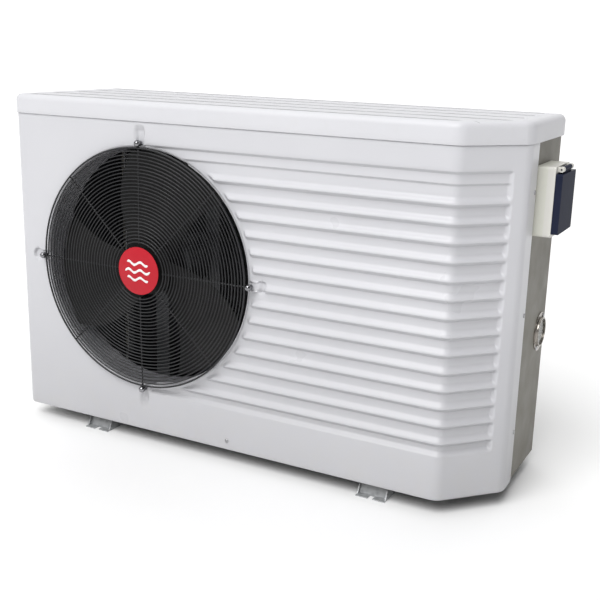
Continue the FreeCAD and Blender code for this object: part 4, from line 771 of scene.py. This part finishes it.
def build_lid():
    rows = lid_rows()
    shares = [0, 0.004, 0.009, 0.013, 0.016, 0.019, 0.023] + spread(0.05, 0.95, 24)
    shares += [0.977, 0.981, 0.984, 0.987, 0.991, 0.996, 1.0]
    columns = len(shares)
    points = []
    border = {}
    for j, y in enumerate(rows):
        (xl, nl), (xr, nr) = lid_side(y, LID_R)
        for i, share in enumerate(shares):
            x = xl + (xr - xl) * share
            points.append(Vector((x, y, TOP - groove_depth(x, y, xl, xr))))
            if i == 0:
                border[(j, i)] = nl
            elif i == columns - 1:
                border[(j, i)] = nr
            elif j == 0:
                border[(j, i)] = Vector((0, -1, 0))
            elif j == len(rows) - 1:
                border[(j, i)] = Vector((0, 1, 0))
    faces = grid_faces(len(rows), columns)
    loop = [(0, i) for i in range(columns)]
    loop += [(j, columns - 1) for j in range(1, len(rows))]
    loop += [(len(rows) - 1, i) for i in range(columns - 2, -1, -1)]
    loop += [(j, 0) for j in range(len(rows) - 2, 0, -1)]
    profile = []
    for step in range(1, 9):
        angle = step / 8 * math.pi / 2
        profile.append((LID_R * math.sin(angle), LID_R * (1 - math.cos(angle))))
    profile += [(LID_R, 17.0), (LID_R, 27.0), (LID_R, TOP - SEAM - 1.2), (LID_R - 0.35, TOP - SEAM - 0.35),
                (LID_R - 1.2, TOP - SEAM)]
    previous = [j * columns + i for j, i in loop]
    for out, down in profile:
        current = []
        for j, i in loop:
            base = points[j * columns + i]
            normal = border[(j, i)]
            current.append(len(points))
            points.append(Vector((base.x + normal.x * out, base.y + normal.y * out, TOP - down)))
        count = len(loop)
        for k in range(count):
            n = (k + 1) % count
            faces.append((previous[k], current[k], current[n], previous[n]))
        previous = current
    piece = new_mesh("casing_lid", points, faces, MATERIALS["lid"], "cabinet")
    face_outwards(piece)
    thicken(piece, SHELL)
    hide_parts("top_cover")


# Grille ---------------------------------------------------------------------------------------

WIRE_R = 1.15
RIM_WIRE_R = WIRE_R * 1.5
SPOKE_WIRE_R = WIRE_R * 1.3
EYE_R = 4.6
GRILLE_R = 231.0
GRILLE_PITCH = 6.5
GRILLE_RINGS = 28
GRILLE_RISE = 3.0
GRILLE_STANDOFF = 7.0


def grille_y(radius):
    return FRONT - GRILLE_STANDOFF - GRILLE_RISE * (1 - radius / GRILLE_R)


def sweep_tube(points, radius, sides, closed):
    """Vertices and faces of a round wire along a list of points, with end caps if it is open."""
    verts = []
    count = len(points)
    reference = Vector((0, 1, 0))
    for index, point in enumerate(points):
        if closed:
            ahead = points[(index + 1) % count]
            behind = points[index - 1]
        else:
            ahead = points[min(index + 1, count - 1)]
            behind = points[max(index - 1, 0)]
        tangent = (Vector(ahead) - Vector(behind)).normalized()
        side = tangent.cross(reference)
        if side.length < 0.2:
            side = tangent.cross(Vector((1, 0, 0)))
        side.normalize()
        up = side.cross(tangent).normalized()
        for angle in turns(sides):
            verts.append(Vector(point) + side * radius * math.cos(angle) + up * radius * math.sin(angle))
    faces = []
    for i in range(count if closed else count - 1):
        n = (i + 1) % count
        for k in range(sides):
            m = (k + 1) % sides
            faces.append((i * sides + k, i * sides + m, n * sides + m, n * sides + k))
    if not closed:
        faces.append(tuple(range(sides)))
        faces.append(tuple(reversed(range((count - 1) * sides, count * sides))))
    return verts, faces


def join(parts):
    points = []
    faces = []
    for verts, polygons in parts:
        offset = len(points)
        points += verts
        faces += [tuple(index + offset for index in face) for face in polygons]
    return points, faces


def build_grille():
    parts = []
    for index in range(GRILLE_RINGS):
        radius = GRILLE_R - index * GRILLE_PITCH
        wire = RIM_WIRE_R if index == 0 else WIRE_R
        y = grille_y(radius)
        ring = [(FAN_X + radius * math.cos(a), y, FAN_Z + radius * math.sin(a))
                for a in turns(max(48, int(radius * 0.75)))]
        parts.append(sweep_tube(ring, wire, 8, True))
    inner = GRILLE_R - (GRILLE_RINGS - 1) * GRILLE_PITCH
    for index in range(8):
        angle = index * math.pi / 4
        reach = NUT_CIRCLE_R - EYE_R if index % 2 == 0 else GRILLE_R + 1.5
        spoke = []
        for radius in spread(inner - 4, reach, 12):
            y = grille_y(min(radius, GRILLE_R)) + 2 * WIRE_R
            spoke.append((FAN_X + radius * math.cos(angle), y, FAN_Z + radius * math.sin(angle)))
        parts.append(sweep_tube(spoke, SPOKE_WIRE_R, 8, False))
        if index % 2 == 0:
            x = FAN_X + NUT_CIRCLE_R * math.cos(angle)
            z = FAN_Z + NUT_CIRCLE_R * math.sin(angle)
            y = FRONT - GRILLE_STANDOFF + 2 * WIRE_R
            eye = [(x + EYE_R * math.cos(a), y, z + EYE_R * math.sin(a))
                   for a in turns(24)]
            parts.append(sweep_tube(eye, SPOKE_WIRE_R, 8, True))
    points, faces = join(parts)
    piece = new_mesh("grille_wires", points, faces, MATERIALS["wire"], "cabinet")
    face_each_outwards(piece)
    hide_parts("fan_grille")


def face_each_outwards(piece):
    with editing(piece) as work:
        bmesh.ops.recalc_face_normals(work, faces=work.faces)


# Round parts ----------------------------------------------------------------------------------

def lathe(profile, centre, axis, sides):
    """Vertices and faces of a turned part: profile is (distance along the axis, radius) pairs."""
    axis = Vector(axis).normalized()
    side = axis.orthogonal().normalized()
    up = axis.cross(side)
    centre = Vector(centre)
    verts = []
    for along, radius in profile:
        for angle in turns(sides):
            direction = side * math.cos(angle) + up * math.sin(angle)
            verts.append(centre + axis * along + direction * radius)
    faces = grid_faces(len(profile), sides, closed=True)
    faces.append(tuple(range(sides)))
    faces.append(tuple(reversed(range((len(profile) - 1) * sides, len(profile) * sides))))
    return verts, faces


def nut_points():
    return [(FAN_X + NUT_CIRCLE_R, FAN_Z), (FAN_X, FAN_Z + NUT_CIRCLE_R),
            (FAN_X - NUT_CIRCLE_R, FAN_Z), (FAN_X, FAN_Z - NUT_CIRCLE_R)]


NUT_BALL_R = 6.2


def build_grille_nuts():
    """Domed nut with washer on each eyelet, its stud and the spacer behind."""
    parts = []
    for x, z in nut_points():
        eye = FRONT - GRILLE_STANDOFF + WIRE_R
        washer = [(0.9, 4.0), (0.9, 5.8), (0.2, 5.8), (0.0, 5.5), (0.0, 4.4)]
        parts.append(lathe(washer, (x, eye, z), (0, 1, 0), 32))
        ball = [(-1.8 - NUT_BALL_R * math.sin(a), NUT_BALL_R * math.cos(a))
                for a in spread(-0.34, 1.52, 16)]
        parts.append(lathe(ball, (x, eye, z), (0, 1, 0), 40))
        parts.append(lathe([(0, 2.1), (8.0, 2.1)], (x, eye, z), (0, 1, 0), 16))
        spacer = [(-3.4, 3.8), (-3.4, 4.3), (-3.0, 4.6), (2.8, 4.6)]
        parts.append(lathe(spacer, (x, FRONT, z), (0, 1, 0), 24))
    points, faces = join(parts)
    piece = new_mesh("grille_acorn_nuts", points, faces, MATERIALS["black_nickel"], "cabinet")
    face_each_outwards(piece)
    round_edges(piece, 0.25, 2, 35)
    smooth_by_angle(piece)
    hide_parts("grille_nuts")


def smooth_by_angle(piece, angle=40.0):
    """Marks edges sharper than the angle so that flat sides stay flat."""
    with editing(piece) as work:
        for edge in work.edges:
            if len(edge.link_faces) == 2 and edge.calc_face_angle(0.0) > math.radians(angle):
                edge.smooth = False


BADGE_R = 46.0
BADGE_BACK = FRONT - GRILLE_STANDOFF - GRILLE_RISE - WIRE_R - 0.2
BADGE_DOME_R = 280.0
BADGE_THICKNESS = 4.0
WAVE_PITCH = 15.0
WAVE_HEIGHT = 3.0
WAVE_LENGTH = 27.0


def badge_face(radius):
    """Y of the badge's domed face at a radius."""
    front = BADGE_BACK - BADGE_THICKNESS
    return front + BADGE_DOME_R - math.sqrt(BADGE_DOME_R ** 2 - radius ** 2)


def build_badge():
    profile = [(0.0, BADGE_R - 0.6), (-0.4, BADGE_R)]
    profile += [(badge_face(BADGE_R) + 0.5 - BADGE_BACK, BADGE_R)]
    for radius in [BADGE_R - 0.15, BADGE_R - 0.5, BADGE_R - 1.2] + spread(BADGE_R - 3, 1.0, 16):
        profile.append((badge_face(radius) - BADGE_BACK, radius))
    points, faces = lathe(profile, (FAN_X, BADGE_BACK, FAN_Z), (0, 1, 0), 128)
    piece = new_mesh("badge_disc", points, faces, MATERIALS["red"], "cabinet")
    face_each_outwards(piece)
    smooth_by_angle(piece)
    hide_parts("grille_badge")
    build_badge_waves()


def build_badge_waves():
    """Three raised wavy stripes printed on the badge: a plain sign for water."""
    parts = []
    for row in (-WAVE_PITCH, 0.0, WAVE_PITCH):
        reach = 29.0 if row == 0.0 else 24.0
        points = []
        for x in spread(-reach, reach, 48):
            middle = row + WAVE_HEIGHT * math.sin(x / WAVE_LENGTH * 2 * math.pi)
            taper = min(1.0, (reach - abs(x)) / 3.0 + 0.25)
            for offset in (-2.4 * taper, -1.2 * taper, 1.2 * taper, 2.4 * taper):
                z = middle + offset
                lift = 0.22 if abs(offset) < 1.8 * taper else 0.06
                y = badge_face(math.hypot(x, z)) - lift
                points.append((FAN_X + x, y, FAN_Z + z))
        parts.append((points, grid_faces(49, 4)))
    points, faces = join(parts)
    piece = new_mesh("badge_waves", points, faces, MATERIALS["white_ink"], "cabinet")


FIN_POINTS = 9


def build_fins():
    """Thin rippled fins of the evaporator: across the back, fanned round the bend, up the left side."""
    low, high = span("evaporator_fins")
    pitch = 3.2
    bend = 60.0
    depth = 32.0
    centre = Vector((low.x + bend, high.y - bend, 0))
    rows = spread(low.z, high.z, 10)
    stations = []
    x = high.x
    while x > centre.x:
        stations.append((Vector((x, centre.y, 0)), Vector((0, 1, 0))))
        x -= pitch
    bend_steps = int(math.pi / 2 * (bend - depth / 2) / pitch)
    for index in range(bend_steps + 1):
        angle = math.pi / 2 + index / bend_steps * math.pi / 2
        stations.append((centre.copy(), Vector((math.cos(angle), math.sin(angle), 0))))
    y = centre.y - pitch
    while y > low.y + 0.5:
        stations.append((Vector((centre.x, y, 0)), Vector((-1, 0, 0))))
        y -= pitch
    randomness = random.Random(5)
    parts = []
    for start, outward in stations:
        along = Vector((-outward.y, outward.x, 0))
        lean = randomness.uniform(-0.25, 0.25)
        points = []
        for face_side in (-0.09, 0.09):
            for z in rows:
                for step in range(FIN_POINTS):
                    share = step / (FIN_POINTS - 1)
                    reach = bend - depth + depth * share
                    ripple = 0.45 * math.sin(share * 4 * math.pi) + lean * share ** 2
                    at = start + outward * reach + along * (face_side + ripple)
                    points.append((at.x, at.y, z))
        count = len(rows) * FIN_POINTS
        faces = grid_faces(len(rows), FIN_POINTS)
        faces += [tuple(reversed(face)) for face in grid_faces(len(rows), FIN_POINTS, count)]
        for r in range(len(rows) - 1):
            for c in (0, FIN_POINTS - 1):
                a = r * FIN_POINTS + c
                b = (r + 1) * FIN_POINTS + c
                quad = (a, a + count, b + count, b)
                faces.append(quad if c == 0 else tuple(reversed(quad)))
        parts.append((points, faces))
    points, faces = join(parts)
    piece = new_mesh("coil_fins", points, faces, MATERIALS["fin"], "cabinet", smooth=False)
    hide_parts("evaporator_fins")


SCREW_RIM_SHARE = 0.12


def screw_mesh(place, outward, radius=4.0, height=2.2):
    """Pan-head screw with a cross recess: points and faces."""
    axis = Vector(outward).normalized()
    side = axis.orthogonal().normalized()
    up = axis.cross(side)
    place = Vector(place)
    rings = 14
    sides = 48
    points = []
    for step in range(rings + 1):
        share = step / rings
        dome = max(share - SCREW_RIM_SHARE, 0.0)
        r = max(radius * math.cos(dome * 1.68), 0.12)
        along = height * (0.35 + 0.65 * math.sin(dome * 1.78)) if step else 0.0
        for angle in turns(sides):
            u = r * math.cos(angle)
            v = r * math.sin(angle)
            arm = min(abs(u), abs(v))
            reach = max(abs(u), abs(v))
            deep = smoothstep(0.62, 0.34, arm) * smoothstep(2.35, 1.7, reach)
            points.append(place + axis * (along - 1.3 * deep) + side * u + up * v)
    faces = grid_faces(rings + 1, sides, closed=True)
    faces.append(tuple(range(rings * sides, (rings + 1) * sides)))
    return points, faces


SCREW_HEIGHTS = (98.0, 311.0, 522.0)
GAUGE_SCREW_CIRCLE_R = 31.8


def build_screws():
    """Heads of the panel screws, on the flange, the front, the rear panel and the gauge."""
    rear_face = span("panel_screws")[1].y - 2.2
    low, high = span("gauge_case")
    gauge = (low + high) / 2
    parts = [screw_mesh((RIGHT, -22.0, BOTTOM + height), (1, 0, 0)) for height in SCREW_HEIGHTS]
    parts.append(screw_mesh((8.0, FRONT, BOTTOM + 17.0), (0, -1, 0)))
    for x in (140.0, 490.0):
        for z in (60.0, 345.0, 600.0):
            parts.append(screw_mesh((x, rear_face, z), (0, 1, 0)))
    for angle in (math.radians(60), math.radians(240)):
        y = gauge.y + GAUGE_SCREW_CIRCLE_R * math.cos(angle)
        z = gauge.z + GAUGE_SCREW_CIRCLE_R * math.sin(angle)
        parts.append(screw_mesh((RIGHT - 1.5, y, z), (1, 0, 0)))
    points, faces = join(parts)
    piece = new_mesh("panel_screw_heads", points, faces, MATERIALS["screw"], "cabinet")
    face_each_outwards(piece)
    smooth_by_angle(piece, 50)
    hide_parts("panel_screws")


SCALE_TICKS = 50
SCALE_SWEEP = 270.0
SCALE_R = 22.0


def build_gauge():
    """Turned chrome bezel over the gauge's case, and the printed scale on its dial."""
    low, high = span("gauge_case")
    y = (low.y + high.y) / 2
    z = (low.z + high.z) / 2
    panel = high.x - 6.0
    profile = [(0.2, 36.0), (1.1, 36.0), (1.5, 35.6), (1.6, 31.0), (1.6, 28.0)]
    profile += [(2.2, 27.5), (4.8, 27.4), (5.6, 27.0), (6.0, 26.3), (5.9, 25.6), (5.2, 25.1), (4.0, 24.8),
                (-6.6, 24.6)]
    points, faces = lathe(profile, (panel, y, z), (1, 0, 0), 160)
    piece = new_mesh("gauge_bezel", points, faces[:-2], MATERIALS["chrome"], "cabinet")
    face_each_outwards(piece)
    smooth_by_angle(piece, 30)
    ticks = []
    for index in range(SCALE_TICKS):
        angle = math.radians(-SCALE_SWEEP / 2 + index * SCALE_SWEEP / (SCALE_TICKS - 1))
        long_tick = index % 7 == 0
        inner = 17.0 if long_tick else 19.5
        width = 0.55 if long_tick else 0.25
        direction = Vector((0, math.sin(angle), math.cos(angle)))
        across = Vector((0, math.cos(angle), -math.sin(angle)))
        centre = Vector((panel - 6.75, y, z))
        quad = [centre + direction * inner - across * width, centre + direction * inner + across * width,
                centre + direction * SCALE_R + across * width,
                centre + direction * SCALE_R - across * width]
        ticks.append(([tuple(q) for q in quad], [(0, 1, 2, 3)]))
    points, faces = join(ticks)
    piece = new_mesh("gauge_scale", points, faces, MATERIALS["ink"], "cabinet")


BEVELS = {
    "foot_rail_left": 0.5, "foot_rail_right": 0.5, "right_side_panel": 0.4, "rear_panel": 0.4,
    "corner_post": 0.4, "controller_base": 1.0, "controller_body": 1.0, "controller_cover": 0.8,
    "controller_display": 0.3, "fan_shroud": 0.6, "fan_blades": 0.4, "union_nuts": 0.8,
    "cable_glands": 0.5, "service_port": 0.4, "base_pan": 0.4, "partition_panel": 0.3,
    "motor_bracket": 0.5, "electrical_box": 0.4,
}


def soften_cad_edges():
    for node, width in BEVELS.items():
        round_edges(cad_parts[node], width, 2, 50)


# Stage ----------------------------------------------------------------------------------------

def build_stage():
    """Pale floor that turns into an even white glow away from the object."""
    mesh = bpy.data.meshes.new("floor")
    size = 60.0
    corners = [(-size, -size, 0), (size, -size, 0), (size, size, 0), (-size, size, 0)]
    mesh.from_pydata(corners, [], [(0, 1, 2, 3)])
    floor = bpy.data.objects.new("floor", mesh)
    bpy.context.scene.collection.objects.link(floor)
    m = Surface("floor_white")
    across = m.add("ShaderNodeVectorMath", Vector=m.coords)
    across.operation = "LENGTH"
    far = m.ramp(across.outputs["Value"], 0.65, 1.8)
    m.link(m.mix(far, rgb(0.95, 0.95, 0.95), rgb(0.02, 0.02, 0.02)), "Base Color")
    m.set(Roughness=0.55, IOR=1.5, Emission_Color=rgb(1.0, 1.0, 1.0))
    m.link(m.math("MULTIPLY", far, FLOOR_GLOW), "Emission Strength")
    mesh.materials.append(m.material)


FLOOR_GLOW = 0.98
SKY_FRONT = 0.14
SKY_BACK = 1.15
SKY_BACK_HIGH = 0.55
SKY_UP = 1.00
SKY_RIGHT = 0.02
SKY_EDGE = 0.07
KEY_ENERGY = 2.38
KEY_AZIMUTH = -4.0
KEY_ELEVATION = 51.0
KEY_ANGLE = 46.0


def build_lights():
    """Pale studio surround, brighter behind and darker to the right, and one broad key light."""
    world = bpy.data.worlds.new("studio")
    bpy.context.scene.world = world
    world.use_nodes = True
    m = Nodes(world.node_tree)
    across, forward, height = m.add("ShaderNodeSeparateXYZ", Vector=m.texture.outputs["Generated"]).outputs
    back = m.soft_ramp(height, 0.10, 0.35, SKY_BACK - SKY_FRONT, SKY_BACK_HIGH - SKY_FRONT)
    level = m.math("MULTIPLY", m.soft_ramp(forward, -0.1, 0.55), back)
    level = m.math("ADD", level, SKY_FRONT)
    level = m.math("ADD", level, m.soft_ramp(height, 0.35, 0.9, 0.0, SKY_UP - SKY_FRONT))
    level = m.math("MULTIPLY", level, m.soft_ramp(across, 0.0, 0.6, 1.0, SKY_RIGHT / SKY_FRONT))
    level = m.math("MAXIMUM", level, m.soft_ramp(height, SKY_EDGE, SKY_EDGE + 0.05, 1.0, 0.0))
    background = m.tree.nodes["Background"]
    m.feed(background.inputs["Strength"], level)
    background.inputs["Color"].default_value = rgb(1.0, 1.0, 1.0)

    data = bpy.data.lights.new("key", "SUN")
    data.energy = KEY_ENERGY
    data.angle = math.radians(KEY_ANGLE)
    light = bpy.data.objects.new("key", data)
    azimuth = math.radians(KEY_AZIMUTH)
    elevation = math.radians(KEY_ELEVATION)
    towards = Vector((math.sin(azimuth) * math.cos(elevation), -math.cos(azimuth) * math.cos(elevation),
                      math.sin(elevation)))
    light.rotation_euler = (-towards).to_track_quat("-Z", "Y").to_euler()
    bpy.context.scene.collection.objects.link(light)


CAMERA_PLACE = Vector((0.9093, -1.6004, 0.7866))
CAMERA_AZIMUTH = 27.509
CAMERA_ELEVATION = 15.199
CAMERA_ROLL = 1.446
CAMERA_LENS = 57.97


def build_camera():
    """Standing in front of the right-hand corner, looking a little down, with a slight roll."""
    azimuth = math.radians(CAMERA_AZIMUTH)
    elevation = math.radians(CAMERA_ELEVATION)
    roll = math.radians(CAMERA_ROLL)
    forward = Vector((-math.sin(azimuth) * math.cos(elevation), math.cos(azimuth) * math.cos(elevation),
                      -math.sin(elevation)))
    right = forward.cross(Vector((0, 0, 1))).normalized()
    up = right.cross(forward)
    tilted_right = right * math.cos(roll) + up * math.sin(roll)
    tilted_up = up * math.cos(roll) - right * math.sin(roll)
    data = bpy.data.cameras.new("camera")
    data.sensor_width = 36.0
    data.lens = CAMERA_LENS
    camera = bpy.data.objects.new("camera", data)
    camera.matrix_world = Matrix((
        (tilted_right.x, tilted_up.x, -forward.x, CAMERA_PLACE.x),
        (tilted_right.y, tilted_up.y, -forward.y, CAMERA_PLACE.y),
        (tilted_right.z, tilted_up.z, -forward.z, CAMERA_PLACE.z),
        (0, 0, 0, 1)))
    bpy.context.scene.collection.objects.link(camera)
    bpy.context.scene.camera = camera
    bpy.context.scene.view_settings.view_transform = "Standard"


build_camera()
build_lights()
build_stage()
dress_cad_nodes()
build_front_shell()
build_lid()
build_grille()
build_grille_nuts()
build_badge()
build_fins()
build_screws()
build_gauge()
soften_cad_edges()
